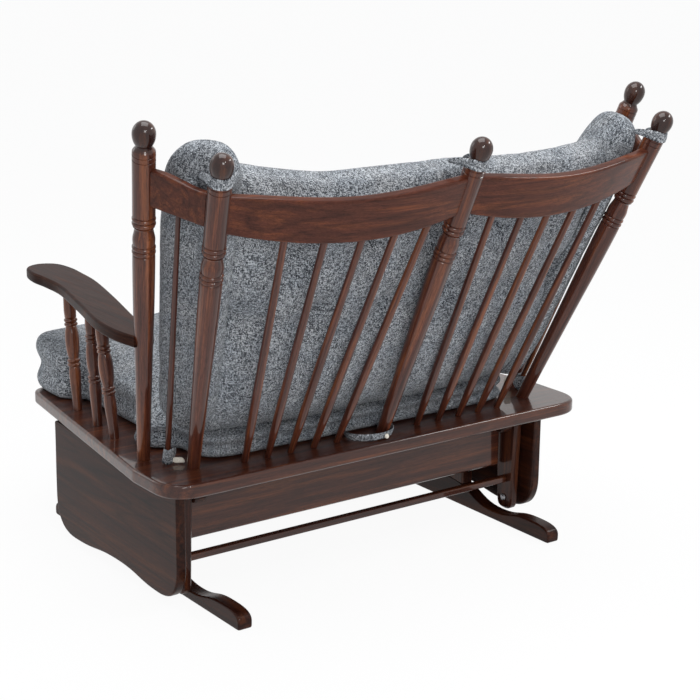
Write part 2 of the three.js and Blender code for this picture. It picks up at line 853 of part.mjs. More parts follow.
// A side panel's lower edge is waved between two round corners
function makeSidePanel(side) {
  const top = seatBottom - fitGap;
  const rear = -panelRearSetback;
  const front = -panelFrontSetback;
  const bulge = front - panelFrontBulge;
  const crown = -panelWaveSetback;
  const rearFlat = rear - panelRearCorner;
  const frontFlat = bulge + panelFrontCorner;
  const rearHalf = (rearFlat + crown) / 2;
  const frontHalf = (frontFlat + crown) / 2;
  const waveTop = panelBottom + panelWaveRise;
  const shoulder = panelBottom + panelFrontCorner;
  const outline = new THREE.Shape();
  outline.moveTo(rear, top);
  outline.lineTo(front, top);
  outline.bezierCurveTo(front, (top + shoulder) / 2, bulge, (top + shoulder) / 2, bulge, shoulder);
  outline.quadraticCurveTo(bulge, panelBottom, frontFlat, panelBottom);
  outline.bezierCurveTo(frontHalf, panelBottom, frontHalf, waveTop, crown, waveTop);
  outline.bezierCurveTo(rearHalf, waveTop, rearHalf, panelBottom, rearFlat, panelBottom);
  outline.quadraticCurveTo(rear, panelBottom, rear, panelBottom + panelRearCorner);
  outline.closePath();
  const name = `${sideName(side)}_side_panel`;
  const mesh = sideBoard(seat, name, outline, panelInnerPlace, panelThickness, side);
  trim(mesh, ...[1, -1].map((end) => boltHole(lowerBolt(side, end))));
}

// A pillow: its outline is a square with rounded corners, and ring runs from 0 in the middle to 1 at the edge
function pillow(acrossSteps, upSteps, thickSteps, cornerPower, place) {
  const unit = new THREE.BoxGeometry(2, 2, 2, acrossSteps, upSteps, thickSteps);
  return warp(unit, (spot) => {
    const across = Math.abs(spot.x);
    const up = Math.abs(spot.y);
    const ring = Math.max(across, up);
    const reach = (across ** cornerPower + up ** cornerPower) ** (1 / cornerPower);
    const draw = ring > 0 ? ring / reach : 1;
    return place(spot.x * draw, spot.y * draw, spot.z, ring);
  });
}

// How full a pillow is, from 0 at its edge to 1 in its middle
function fullness(ring) {
  return 1 - ring ** pillowCrownPower;
}

// How far a pillow's side is drawn in at a share of its half thickness: round edges with a crease between
function drawnIn(share, round, crease) {
  return round * share ** 4 + crease * Math.max(0, 1 - 3 * Math.abs(share));
}

// The seat cushion fits between the front arm spindles
const lastSpindle = armSpindleSetbacks.length - 1;
const lastSpindlePlace = seatHalfWidthAt(armSpindleSetbacks[lastSpindle]) - armSpindleEdgeInset;
const seatCushionHalfWidth = lastSpindlePlace - armSpindleRadius - seatCushionSideGap;

// How far the seat cushion's sides bulge out behind the rear arm spindles and before the front ones
function seatCushionEarAt(setback) {
  const frontStart = armSpindleSetbacks[lastSpindle] + armSpindleForwards[lastSpindle] + armSpindleRadius / 2;
  const rearEnd = armSpindleSetbacks[0] - armSpindleRadius / 2;
  const front = smoothstep(setback, frontStart, frontStart + seatCushionEarLength);
  const rearOut = smoothstep(setback, wingPostSetback, wingPostSetback + seatCushionEarLength);
  const rearIn = 1 - smoothstep(setback, rearEnd - seatCushionEarLength, rearEnd);
  return seatCushionEar * front + seatCushionRearEar * rearOut * rearIn;
}

function seatCushion(grow = 0) {
  return pillow(14, 18, 6, boxCornerPower, (across, along, share, ring) => {
    const inset = drawnIn(share, seatCushionRound, seatCushionCrease) - grow;
    const setback = seatCushionSetback + seatCushionDepth / 2 - along * (seatCushionDepth / 2 - inset);
    const ear = seatCushionEarAt(setback);
    const edge = lerp(seatCushionFrontEdge, seatCushionRearEdge, (along + 1) / 2);
    const height = lerp(edge, seatCushionCrown, fullness(ring)) + grow;
    const x = across * (seatCushionHalfWidth + ear - inset);
    const z = seatTop + fitGap + (height * (1 + Math.sin((share * Math.PI) / 2))) / 2;
    return new THREE.Vector3(x, -setback, z);
  });
}

// How deep the tufts draw a face in at a place on the back cushion
function tuftDraw(x, z, slope) {
  return tuftHeights.reduce((depth, height, row) => {
    const shift = (row % 2) / 2;
    const nearest = (Math.round(x / tuftPitch - shift) + shift) * tuftPitch;
    const apart = Math.hypot(x - nearest, (z - height) / slope);
    return depth + tuftDepth * Math.exp(-((apart / tuftRadius) ** 2));
  }, 0);
}

function backCushion(grow = 0) {
  const middle = middleAxis();
  const corner = cornerAxis(1);
  const slope = middle.up.z;
  const forward = new THREE.Vector3(0, -slope, middle.up.y);
  const distance = postRadius + backCushionPostGap + backCushionThickness / 2;
  return pillow(24, 12, 4, boxCornerPower, (across, up, share, ring) => {
    const inset = drawnIn(share, backCushionRound, 0) - grow;
    const rise = backCushionEndRise * across ** 2;
    const half = (backCushionTop - backCushionBottom) / 2;
    const z = backCushionBottom + half + (rise * (up + 1)) / 2 + up * (half - inset * slope);
    const end = corner.at(z);
    const x = across * (end.x - backCushionEndInset - inset);
    const span = Math.abs(x) / end.x;
    const plane = middle.at(z).lerp(end, span ** 2);
    plane.y += bowed(backCushionBow, span);
    const thick = lerp(backCushionEdge, backCushionThickness, fullness(ring));
    const face = Math.sin((share * Math.PI) / 2) * (thick / 2 + grow - tuftDraw(x, z, slope));
    return new THREE.Vector3(x, plane.y, z).addScaledVector(forward, distance - face);
  });
}

function wingPad(side) {
  const wing = wingAxis(side);
  const corner = cornerAxis(side);
  const inward = corner.foot.clone().sub(wing.foot).cross(wing.up).normalize().multiplyScalar(-side);
  return pillow(8, 12, 4, padCornerPower, (along, up, share, ring) => {
    const inset = drawnIn(share, wingPadRound, 0);
    const half = (wingPadTop - wingPadBottom) / 2;
    const rise = wingPadCrest * (1 - along ** 2);
    const z = wingPadBottom + half + (rise * (up + 1)) / 2 + up * (half - inset);
    const span = wing.at(z).distanceTo(corner.at(z));
    const halfShare = (wingPadRearShare - wingPadFrontShare) / 2;
    const place = wingPadFrontShare + halfShare + along * (halfShare - inset / span);
    const thick = lerp(wingPadEdge, wingPadThickness, fullness(ring));
    const face = (Math.sin((share * Math.PI) / 2) * thick) / 2;
    const distance = postRadius + wingPadPostGap + wingPadThickness / 2 - face;
    return wing.at(z).lerp(corner.at(z), place).addScaledVector(inward, distance);
  });
}

function makeCushions() {
  piece(seat, "seat_cushion", seatCushion(), fabricLook);
  trim(piece(seat, "back_cushion", backCushion(), fabricLook), seatCushion(fitGap));
  for (const side of [1, -1]) {
    trim(piece(seat, `${sideName(side)}_wing_pad`, wingPad(side), fabricLook), backCushion(fitGap));
  }
}

makeSeatBoard();
makeBack();
for (const side of [1, -1]) {
  makeArm(side);
  makeArmSpindles(side);
  makeSidePanel(side);
  makeBaseSide(side);
}
makeSwing(rearSwing, 1);
makeSwing(frontSwing, -1);
makeCushions();

// The finished bench stands with the middle of its box over the origin
bench.updateMatrixWorld(true);
bench.position.y = -new THREE.Box3().setFromObject(bench, true).getCenter(new THREE.Vector3()).y;

export default bench;
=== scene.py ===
import math

import bmesh
import bpy
from mathutils import Matrix, Vector, noise
from mathutils.bvhtree import BVHTree


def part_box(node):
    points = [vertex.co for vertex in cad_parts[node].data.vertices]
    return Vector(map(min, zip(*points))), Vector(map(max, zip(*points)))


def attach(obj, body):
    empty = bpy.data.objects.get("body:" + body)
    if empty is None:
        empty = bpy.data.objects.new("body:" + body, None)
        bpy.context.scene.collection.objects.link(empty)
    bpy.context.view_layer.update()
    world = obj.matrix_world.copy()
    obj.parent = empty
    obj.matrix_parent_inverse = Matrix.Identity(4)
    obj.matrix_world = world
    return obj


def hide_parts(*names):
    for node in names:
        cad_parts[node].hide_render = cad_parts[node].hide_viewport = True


scene = bpy.context.scene
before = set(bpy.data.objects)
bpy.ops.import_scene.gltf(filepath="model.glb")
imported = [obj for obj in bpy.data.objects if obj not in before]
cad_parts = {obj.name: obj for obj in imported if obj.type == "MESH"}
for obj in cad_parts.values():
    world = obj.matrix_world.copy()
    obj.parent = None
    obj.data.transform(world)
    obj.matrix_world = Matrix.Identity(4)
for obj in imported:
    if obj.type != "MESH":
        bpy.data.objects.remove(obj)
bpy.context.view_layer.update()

# Camera: behind the bench and to the sitter's left, at standing eye height, looking a little down.
# Its place and turn were solved from the bench's own straight lines.
camera_place = Vector((2.2667, 3.2325, 1.5463))
azimuth, pitch, roll = (math.radians(angle) for angle in (143.922, 15.137, 0.539))
back = Vector((math.sin(azimuth) * math.cos(pitch), -math.cos(azimuth) * math.cos(pitch), math.sin(pitch)))
level = Vector((math.cos(azimuth), math.sin(azimuth), 0))
lifted = back.cross(level)
right = level * math.cos(roll) + lifted * math.sin(roll)
camera_data = bpy.data.cameras.new("camera")
camera_data.sensor_width = 36
camera_data.lens = 87.437
camera_data.clip_end = 200
camera = bpy.data.objects.new("camera", camera_data)
camera_turn = Matrix((right, back.cross(right), back)).transposed().to_4x4()
camera.matrix_world = Matrix.Translation(camera_place) @ camera_turn
scene.collection.objects.link(camera)
scene.camera = camera
scene.view_settings.view_transform = "Standard"


# Studio: a plain pale floor under soft light from large lamps over and behind the bench.
# Floor and world are white where they are seen or mirrored, and light the bench as a soft grey.
def finish(name):
    """A new material, with its node tree and its main shader."""
    material = bpy.data.materials.new(name)
    material.use_nodes = True
    return material, material.node_tree, material.node_tree.nodes["Principled BSDF"]


def feed(node, values):
    """Gives each named or numbered input its value, or links another node's output to it."""
    for key, value in values.items():
        if isinstance(value, bpy.types.NodeSocket):
            node.id_data.links.new(value, node.inputs[key])
        else:
            node.inputs[key].default_value = value


def calculated(tree, operation, *values):
    node = tree.nodes.new("ShaderNodeMath")
    node.operation = operation
    feed(node, dict(enumerate(values)))
    return node.outputs[0]


def seen_or_mirrored(tree):
    """One for the camera's rays and those of gloss and of clear things, zero for light."""
    rays = tree.nodes.new("ShaderNodeLightPath").outputs
    seen = calculated(tree, "MAXIMUM", rays["Is Camera Ray"], rays["Is Transmission Ray"])
    return calculated(tree, "MAXIMUM", seen, rays["Is Glossy Ray"])


bpy.ops.mesh.primitive_plane_add(size=160)
floor = bpy.context.object
floor.name = "floor"
floor_finish, floor_tree, floor_shader = finish("pale_floor")
feed(floor_shader, {"Base Color": (0.9, 0.9, 0.9, 1), "Roughness": 0.9, "Specular IOR Level": 0.1})
floor_glow = floor_tree.nodes.new("ShaderNodeEmission")
floor_mix = floor_tree.nodes.new("ShaderNodeMixShader")
floor_share = calculated(floor_tree, "MULTIPLY", seen_or_mirrored(floor_tree), 0.94)
feed(floor_mix, {"Fac": floor_share, 1: floor_shader.outputs["BSDF"], 2: floor_glow.outputs["Emission"]})
feed(floor_tree.nodes["Material Output"], {"Surface": floor_mix.outputs["Shader"]})
floor.data.materials.append(floor_finish)

world = bpy.data.worlds.new("studio")
world.use_nodes = True
scene.world = world
sky = world.node_tree
sky_light = sky.nodes["Background"]
feed(sky_light, {"Color": (0.93, 0.96, 1, 1), "Strength": 0.55})
sky_seen = sky.nodes.new("ShaderNodeBackground")
feed(sky_seen, {"Color": (1, 1, 1, 1)})
sky_mix = sky.nodes.new("ShaderNodeMixShader")
feed(sky_mix, {"Fac": seen_or_mirrored(sky)})
feed(sky_mix, {1: sky_light.outputs["Background"], 2: sky_seen.outputs["Background"]})
feed(sky.nodes["World Output"], {"Surface": sky_mix.outputs["Shader"]})

for name, place, size, power in (
    ("top_lamp", (0.2, 0.3, 3.6), (2.4, 2.4), 78),
    ("rear_lamp", (-2.3, 1.5, 2.5), (1.2, 0.4), 26),
    ("side_lamp", (1.9, 4.4, 2.3), (1.2, 1.2), 52),
    ("front_lamp", (2.2, -3.6, 2.6), (1.8, 1.8), 14),
    ("spark_lamp", (0.5, 3.9, 2.7), (0.12, 0.12), 7),
):
    lamp_data = bpy.data.lights.new(name, "AREA")
    lamp_data.shape = "RECTANGLE"
    lamp_data.size, lamp_data.size_y = size
    lamp_data.energy = power
    lamp = bpy.data.objects.new(name, lamp_data)
    lamp.location = place
    lamp.rotation_euler = (Vector((0, 0, 0.5)) - Vector(place)).to_track_quat("-Z", "Y").to_euler()
    scene.collection.objects.link(lamp)


# Seat board: one thick hardwood board with round rear corners and a soft nosing all round.
# It is stained dark brown under a glossy clear coat, and the grain runs along the bench.
def lerp(a, b, share):
    return a + (b - a) * share


def attribute(tree, name):
    node = tree.nodes.new("ShaderNodeAttribute")
    node.attribute_name = name
    return node.outputs


def toned(tree, value, stops):
    """A value turned into a colour by (position, colour) stops."""
    node = tree.nodes.new("ShaderNodeValToRGB")
    elements = node.color_ramp.elements
    while len(elements) < len(stops):
        elements.new(1)
    for element, (position, colour) in zip(elements, stops):
        element.position = position
        element.color = (*colour, 1)
    feed(node, {"Fac": value})
    return node.outputs["Color"]


def noise_at(tree, vector, scale, detail=2.0, roughness=0.5, distortion=0.0):
    """A noise whose scale is given along each axis, in features to the metre."""
    stretch = tree.nodes.new("ShaderNodeMapping")
    feed(stretch, {"Vector": vector, "Scale": scale})
    texture = tree.nodes.new("ShaderNodeTexNoise")
    feed(texture, {"Vector": stretch.outputs["Vector"], "Scale": 1, "Detail": detail})
    feed(texture, {"Roughness": roughness, "Distortion": distortion})
    return texture.outputs["Fac"]


def mixed(tree, blend, factor, a, b):
    node = tree.nodes.new("ShaderNodeMix")
    node.data_type = "RGBA"
    node.blend_type = blend
    feed(node, {0: factor, 6: a, 7: b})
    return node.outputs[2]


def bump(tree, shader, height, strength, distance):
    node = tree.nodes.new("ShaderNodeBump")
    feed(node, {"Height": height, "Strength": strength, "Distance": distance})
    feed(shader, {"Normal": node.outputs["Normal"]})


# Painted shade: the near-black that the tops of the turnings are darkened towards, for the dark of a glossy
# finial
painted_shade_colour = (0.012, 0.005, 0.0042)
stain_dark = (0.026, 0.0075, 0.0055)
stain_middle = (0.072, 0.0205, 0.0115)
stain_light = (0.24, 0.072, 0.022)


def stained_wood(name, along, painted_light_level=1.0, figure=0.0, turned_piece=False, gloss=0.4, even=0.0, mirror=0.1):
    """Dark stained hardwood whose grain runs along one axis. Figure is the strength of its broad arches, even
    tones its streaks down, gloss is the clear coat's weight and mirror the wood's own shine. The colour is
    scaled by painted_light_level, as painted light and shade for how brightly the part is lit."""
    material, tree, shader = finish(name)
    if turned_piece:
        spot = attribute(tree, "grain_place")["Vector"]
    else:
        spot = tree.nodes.new("ShaderNodeTexCoord").outputs["Object"]

    def scaled(across, lengthways):
        return tuple(lengthways if axis == along else across for axis in "XYZ")

    streaks = noise_at(tree, spot, scaled(52, 2.2), 4, 0.6, 0.4)
    lines = noise_at(tree, spot, scaled(300, 7), 3, 0.6)
    pores = noise_at(tree, spot, scaled(1300, 45), 1)
    stain = toned(tree, streaks, [(0.28, stain_dark), (0.5, stain_middle), (0.78, stain_light)])
    colour = mixed(tree, "MIX", even, stain, (*stain_middle, 1))
    line_tone = toned(tree, lines, [(0.32, (0.45, 0.42, 0.4)), (0.6, (1, 1, 1))])
    colour = mixed(tree, "MULTIPLY", 0.75, colour, line_tone)
    if figure:
        arches = noise_at(tree, spot, scaled(9, 0.9), 1, 0.4, 0.3)
        rings = calculated(tree, "PINGPONG", calculated(tree, "MULTIPLY", arches, 24), 1)
        ring_tone = toned(tree, rings, [(0.0, (0.35, 0.3, 0.28)), (0.35, (1, 1, 1)), (1, (1.3, 1.2, 1.1))])
        colour = mixed(tree, "MULTIPLY", figure, colour, ring_tone)
    pore_tone = toned(tree, pores, [(0.36, (0.3, 0.28, 0.27)), (0.46, (1, 1, 1))])
    colour = mixed(tree, "MULTIPLY", 0.6, colour, pore_tone)
    # Painted light and shade: the colour is made brighter or darker for how this part is lit
    colour = mixed(tree, "MULTIPLY", 1, colour, (painted_light_level, painted_light_level, painted_light_level, 1))
    if turned_piece:
        # Painted shade: the colour darkens towards near-black at the top of each turning
        colour = mixed(tree, "MIX", attribute(tree, "painted_shade_amount")["Fac"], colour, (*painted_shade_colour, 1))
    feed(shader, {"Base Color": colour, "Roughness": calculated(tree, "MULTIPLY_ADD", lines, 0.18, 0.26)})
    feed(shader, {"Specular IOR Level": mirror, "Coat Weight": gloss, "Coat Roughness": 0.05})
    relief = calculated(tree, "ADD", pores, calculated(tree, "MULTIPLY", lines, 0.6))
    bump(tree, shader, relief, strength=0.1 if turned_piece else 0.2, distance=0.0004)
    return material


# Painted light and shade: copies of one stained wood, from 0.36 on the arms to 1.35 on the turnings
wood_across = stained_wood("stained_wood_across", "X", 0.92, 0.3, gloss=0.7, even=0.3)
wood_deep = stained_wood("stained_wood_front_to_rear", "Y", 0.46, 0.6, gloss=0.1, even=0.3)
wood_arm = stained_wood("stained_wood_arm", "Y", 0.36, 0.3, gloss=0.04, even=0.2, mirror=0.02)
wood_upright = stained_wood("stained_wood_upright", "Z", 0.7, gloss=0.25)
wood_turned = stained_wood("stained_wood_turned", "Z", 1.35, 0, True, gloss=0.75, mirror=0.06)
wood_crest = stained_wood("stained_wood_crest", "X", 1.25, 0.4, gloss=0.3, even=0.5, mirror=0.04)


def settle(mesh_data, name, material, body, slot, *stands_for, crease=40, weighted=True):
    """Makes a piece of a bmesh, shades it smooth between its creases and lets it ride on its body."""
    mesh_data.normal_update()
    bmesh.ops.recalc_face_normals(mesh_data, faces=mesh_data.faces)
    if mesh_data.calc_volume(signed=True) < 0:
        bmesh.ops.reverse_faces(mesh_data, faces=mesh_data.faces)
    mesh = bpy.data.meshes.new(name)
    mesh_data.to_mesh(mesh)
    mesh_data.free()
    mesh.polygons.foreach_set("use_smooth", [True] * len(mesh.polygons))
    if crease:
        mesh.set_sharp_from_angle(angle=math.radians(crease))
    mesh.materials.append(material)
    piece = bpy.data.objects.new(name, mesh)
    scene.collection.objects.link(piece)
    if weighted:
        piece.modifiers.new("even_faces", "WEIGHTED_NORMAL").keep_sharp = True
    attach(piece, body)
    if stands_for:
        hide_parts(*stands_for)
    return piece


def rounded(corners, steps):
    """An outline with rounded corners, each given as (a, b, radius)."""
    outline = []
    for index, (a, b, radius) in enumerate(corners):
        corner = Vector((a, b))
        before = Vector(corners[index - 1][:2]) - corner
        after = Vector(corners[(index + 1) % len(corners)][:2]) - corner
        half = before.angle(after) / 2
        reach = min(radius / math.tan(half), before.length / 2, after.length / 2)
        start = corner + before.normalized() * reach
        end = corner + after.normalized() * reach
        for step in range(steps + 1):
            share = step / steps
            outline.append(start * (1 - share) ** 2 + corner * 2 * share * (1 - share) + end * share**2)
    return outline


def raised(outline, height):
    """A block whose outline is raised from 0 up to its height."""
    block = bmesh.new()
    face = block.faces.new([block.verts.new((a, b, 0)) for a, b in outline])
    grown = bmesh.ops.extrude_face_region(block, geom=[face])["geom"]
    tops = [item for item in grown if isinstance(item, bmesh.types.BMVert)]
    bmesh.ops.translate(block, verts=tops, vec=(0, 0, height))
    return block


def plank(outline, thickness, ease, segments=4):
    """A board with this outline and rounded edges, lying from 0 up to its thickness."""
    spread = [point for index, point in enumerate(outline) if (point - outline[index - 1]).length > 0.0005]
    board = raised(spread, thickness)
    bmesh.ops.recalc_face_normals(board, faces=board.faces)
    rims = [edge for edge in board.edges if abs(edge.verts[0].co.z - edge.verts[1].co.z) < thickness / 2]
    bmesh.ops.bevel(
        board, geom=rims, offset=ease, offset_type="OFFSET", affect="EDGES", segments=segments, profile=0.5,
        material=-1, clamp_overlap=True,
    )
    return board


seat_low, seat_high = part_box("seat_board")
seat_half_rear, rear_edge, seat_top = seat_high
seat_thickness = seat_high.z - seat_low.z
seat_half_front = 0.5
seat_depth = seat_high.y - seat_low.y
seat_parallel_depth = 0.165
seat_rear_round, seat_front_round, seat_nosing = 0.091, 0.042, 0.007

left_corners = [
    (seat_half_rear, rear_edge, seat_rear_round),
    (seat_half_rear, rear_edge - seat_parallel_depth, seat_rear_round),
    (seat_half_front, rear_edge - seat_depth, seat_front_round),
]
seat_corners = [(-x, y, radius) for x, y, radius in left_corners] + left_corners[::-1]
seat_board = plank(rounded(seat_corners, 14), seat_thickness, seat_nosing, 6)
bmesh.ops.translate(seat_board, verts=seat_board.verts, vec=(0, 0, seat_low.z))
settle(seat_board, "seat_plank", wood_across, "seat", "wood", "seat_board")


# Posts: five hardwood turnings with ball finials, two fine grooves under the neck, two pairs of beads and a
# long taper. Each stands on the seat board and leans back, and the outer four lean outwards too.
def seat_half_width(setback):
    past = max(0, setback - seat_parallel_depth)
    return lerp(seat_half_rear, seat_half_front, past / (seat_depth - seat_parallel_depth))


def leaning(x, setback, splay, rake, height):
    foot = Vector((x, rear_edge - setback, seat_top))
    return foot, foot + Vector((splay, rake, height))


def at_height(line, z):
    foot, top = line
    return foot.lerp(top, (z - foot.z) / (top.z - foot.z))


hands = ((1, "left"), (-1, "right"))
wing_setback, corner_setback, middle_setback = 0.211, 0.102, 0.055


def wing_line(side):
    return leaning(side * (seat_half_width(wing_setback) - 0.048), wing_setback, side * 0.125, 0.259, 0.759)


def corner_line(side):
    return leaning(side * (seat_half_rear - 0.116), corner_setback, side * 0.113, 0.315, 0.712)


def middle_line():
    return leaning(0, middle_setback, 0, 0.328, 0.705)


def turning(profile, line, sides, place_seed, dark_to=0.0):
    """Spins a profile of (drop, radius) pairs and hangs it from the line's top, with its grain's own place.
    Its colour is darkened as painted shade, darkest down to near dark_to below the top."""
    piece = bmesh.new()
    points = [piece.verts.new((radius, 0, -drop)) for drop, radius in profile]
    edges = [piece.edges.new(pair) for pair in zip(points, points[1:])]
    bmesh.ops.spin(
        piece, geom=points + edges, cent=(0, 0, 0), axis=(0, 0, 1), dvec=(0, 0, 0), angle=2 * math.pi,
        steps=sides, use_merge=True,
    )
    bmesh.ops.remove_doubles(piece, verts=piece.verts, dist=0.00002)
    grain = piece.verts.layers.float_vector.new("grain_place")
    stain = piece.verts.layers.float.new("painted_shade_amount")
    for vert in piece.verts:
        vert[grain] = vert.co + Vector((0.31, 0.17, 0.83)) * place_seed
        # Painted shade: each point's colour is darkened by up to 0.75, fading out at dark_to below the top
        vert[stain] = 0.75 * min(max((dark_to + vert.co.z) / 0.015, 0), 1)
    foot, top = line
    upright = (top - foot).to_track_quat("Z", "Y").to_matrix().to_4x4()
    bmesh.ops.transform(piece, matrix=Matrix.Translation(top) @ upright, verts=piece.verts)
    return piece


def stand_on_seat(piece):
    """Cuts a leaning turning off level, just over the seat board."""
    whole = list(piece.verts) + list(piece.edges) + list(piece.faces)
    cut = bmesh.ops.bisect_plane(
        piece, geom=whole, plane_co=(0, 0, seat_top + 0.0002), plane_no=(0, 0, 1), clear_inner=True
    )["geom_cut"]
    bmesh.ops.edgeloop_fill(piece, edges=[edge for edge in cut if isinstance(edge, bmesh.types.BMEdge)])
    return piece


def eased(points, steps=6):
    """A smooth curve through (drop, radius) points."""
    curve = []
    for index in range(len(points) - 1):
        before = points[max(index - 1, 0)]
        start, end = points[index], points[index + 1]
        after = points[min(index + 2, len(points) - 1)]
        for step in range(steps):
            t = step / steps
            curve.append(tuple(
                0.5 * (
                    2 * b + (c - a) * t + (2 * a - 5 * b + 4 * c - d) * t * t
                    + (3 * b - a - 3 * c + d) * t**3
                )
                for a, b, c, d in zip(before, start, end, after)
            ))
    return curve + [points[-1]]


def bead(start, width, groove, crown, steps=7):
    """A round bead between two grooves."""
    return [
        (start + width * step / steps, groove + (crown - groove) * math.sin(math.pi * step / steps) ** 0.7)
        for step in range(steps + 1)
    ]


finial_radius = 0.024
post_radius = 0.0235
# How far down the finials' painted shade reaches
finial_shade_drop = 0.04


def post_profile(length):
    finial = [
        (-0.0265 * math.cos(math.pi / 2 * step / 9), finial_radius * math.sin(math.pi / 2 * step / 9))
        for step in range(10)
    ]
    neck_angle = math.acos(0.017 / finial_radius)
    finial += [
        (0.035 * math.sin(neck_angle * step / 6), finial_radius * math.cos(neck_angle * step / 6))
        for step in range(1, 7)
    ]
    neck = finial[-1][0]
    shoulder = [
        (neck + 0.0015, 0.0166), (neck + 0.006, 0.019), (neck + 0.0105, 0.0225), (neck + 0.013, post_radius),
    ]
    grooves = []
    for drop in (0.043, 0.054):
        grooves += [(drop, 0.0238), (drop + 0.0008, 0.0225), (drop + 0.0022, 0.0225), (drop + 0.003, 0.0238)]
    pairs = []
    for drop in (0.19, 0.257):
        upper = bead(drop - 0.0055, 0.011, 0.0205, 0.0245)
        pairs.append(upper + bead(drop + 0.0055, 0.011, 0.0205, 0.0245)[1:])
    cove = eased([(0.2075, 0.0225), (0.212, 0.0192), (0.222, 0.0205), (0.236, 0.0232), (0.249, 0.0228)], 4)
    taper = eased([
        (0.275, 0.0226), (0.29, post_radius), (length * 0.5, 0.0222), (length * 0.64, 0.0195),
        (length * 0.84, 0.0165), (length, 0.0145), (length + 0.03, 0.014),
    ], 6)
    run = [(0.06, 0.0238), (0.1, 0.0236), (0.15, post_radius), (0.182, post_radius)]
    return finial + shoulder + grooves + run + pairs[0] + cove + pairs[1] + taper + [(length + 0.03, 0)]


post_lines = {"middle_post": middle_line()}
for side, hand in hands:
    post_lines[f"{hand}_corner_post"] = corner_line(side)
    post_lines[f"{hand}_wing_post"] = wing_line(side)
for number, (name, line) in enumerate(post_lines.items()):
    length = (line[1] - line[0]).length
    post = stand_on_seat(turning(post_profile(length), line, 40, number + 1, finial_shade_drop))
    settle(post, f"{name}_turning", wood_turned, "seat", "wood", name, crease=50, weighted=False)


# Crest rails: two long bowed hardwood rails, with a dipped top and a full lower edge, between the middle post
# and the corner posts, and a short straight one on each wing. Their ends are let into the posts.
crest_bow, crest_thickness, wing_board_thickness = 0.04, 0.022, 0.02


def bowed(depth, share):
    return 4 * depth * share * (1 - share)


def crest_lower(share):
    return lerp(0.896, 0.906, share) - bowed(0.038, share)


def crest_upper(share):
    scoop = 0.5 * bowed(1, share) + 0.25 * (1 - math.cos(2 * math.pi * share))
    return lerp(0.978, 0.982, share) - 0.0225 * scoop


def wing_lower(share):
    return lerp(1.019, 0.982, share) - 0.074


def wing_upper(share):
    return lerp(1.019, 0.982, share) + 0.004 * math.sin(2 * math.pi * share)


def rail(start_line, end_line, lower, upper, thickness, bow, steps, first, last):
    """A rail that runs between two posts' axes, from one share of the span to another."""
    ease = 0.006
    section = []
    for x_way, y_way, turn in ((1, 1, 0), (-1, 1, 1), (-1, -1, 2), (1, -1, 3)):
        for step in range(5):
            angle = math.pi / 2 * (turn + step / 4)
            section.append((
                x_way * (thickness / 2 - ease) + ease * math.cos(angle),
                y_way + math.sin(angle),
            ))
    piece = raised(section, 1)
    long_edges = [edge for edge in piece.edges if abs(edge.verts[0].co.z - edge.verts[1].co.z) > 0.5]
    bmesh.ops.subdivide_edges(piece, edges=long_edges, cuts=steps - 1, use_grid_fill=True)
    lean = (start_line[1] - start_line[0]).normalized()
    for vert in piece.verts:
        share = lerp(first, last, vert.co.z)
        low, high = lower(share), upper(share)
        # The section's height runs from -2 to 2, with the rounded corners outside -1 and 1
        past = abs(vert.co.y) - 1
        way = 1 if vert.co.y > 0 else -1
        z = (low + high) / 2 + way * ((high - low) / 2 - ease + ease * past)
        start, end = at_height(start_line, z), at_height(end_line, z)
        along = end - start
        along.y += 4 * bow * (1 - 2 * share)
        outward = along.cross(lean).normalized()
        middle = start.lerp(end, share)
        middle.y += bowed(bow, share)
        vert.co = middle + outward * vert.co.x
    return piece


for side, hand in hands:
    ends = middle_line(), corner_line(side)
    long_rail = rail(*ends, crest_lower, crest_upper, crest_thickness, crest_bow, 36, 0.032, 0.968)
    settle(long_rail, f"{hand}_crest_board", wood_crest, "seat", "wood", f"{hand}_crest_rail", crease=50)
    ends = wing_line(side), corner_line(side)
    short_rail = rail(*ends, wing_lower, wing_upper, wing_board_thickness, 0, 12, 0.13, 0.87)
    settle(short_rail, f"{hand}_wing_board", wood_crest, "seat", "wood", f"{hand}_wing_rail", crease=50)


# Back spindles: ten thin hardwood dowels with a low swell, five on each side of the middle post, and one more
# in each wing. They stand in the seat board and are let into the rail over them.
spindle_foot_shares = (0.243, 0.378, 0.509, 0.639, 0.765)
spindle_top_shares = (0.155, 0.307, 0.451, 0.606, 0.76)
spindle_setback, wing_spindle_share = 0.07, 0.48
back_spindle_radii = (0.0078, 0.0098, 0.007)
wing_spindle_radii = (0.0055, 0.007, 0.0055)


def under_rail(rail_ends, lower, share):
    """The spot between two posts' axes on a rail's lower edge, without the rail's bow."""
    height = lower(share)
    return at_height(rail_ends[0], height).lerp(at_height(rail_ends[1], height), share)


def spindle(name, foot, rail_ends, lower, bow, share, radii, seed):
    top = under_rail(rail_ends, lower, share)
    top.y += bowed(bow, share)
    length = (top - foot).length
    at_top, at_swell, at_foot = radii
    middle = lerp(at_top, at_swell, 0.55)
    profile = [(-0.008, 0)] + eased([
        (-0.008, at_top), (0.06, at_top), (length * 0.4, middle), (length * 0.8, at_swell),
        (length * 0.93, lerp(at_swell, at_foot, 0.6)), (length + 0.02, at_foot),
    ], 4) + [(length + 0.02, 0)]
    piece = stand_on_seat(turning(profile, (foot, top), 20, seed))
    settle(piece, f"{name}_dowel", wood_turned, "seat", "wood", name, weighted=False)


for side, hand in hands:
    corner, wing = corner_line(side), wing_line(side)
    for number, (foot_share, top_share) in enumerate(zip(spindle_foot_shares, spindle_top_shares), 1):
        foot = Vector((corner[0].x * foot_share, rear_edge - spindle_setback, seat_top))
        name = f"{hand}_back_spindle_{number}"
        ends, seed = (middle_line(), corner), number + 10 + side
        spindle(name, foot, ends, crest_lower, crest_bow, top_share, back_spindle_radii, seed)
    foot = wing[0].lerp(corner[0], wing_spindle_share)
    name, ends = f"{hand}_wing_spindle", (wing, corner)
    spindle(name, foot, ends, wing_lower, 0, wing_spindle_share, wing_spindle_radii, 30 + side)


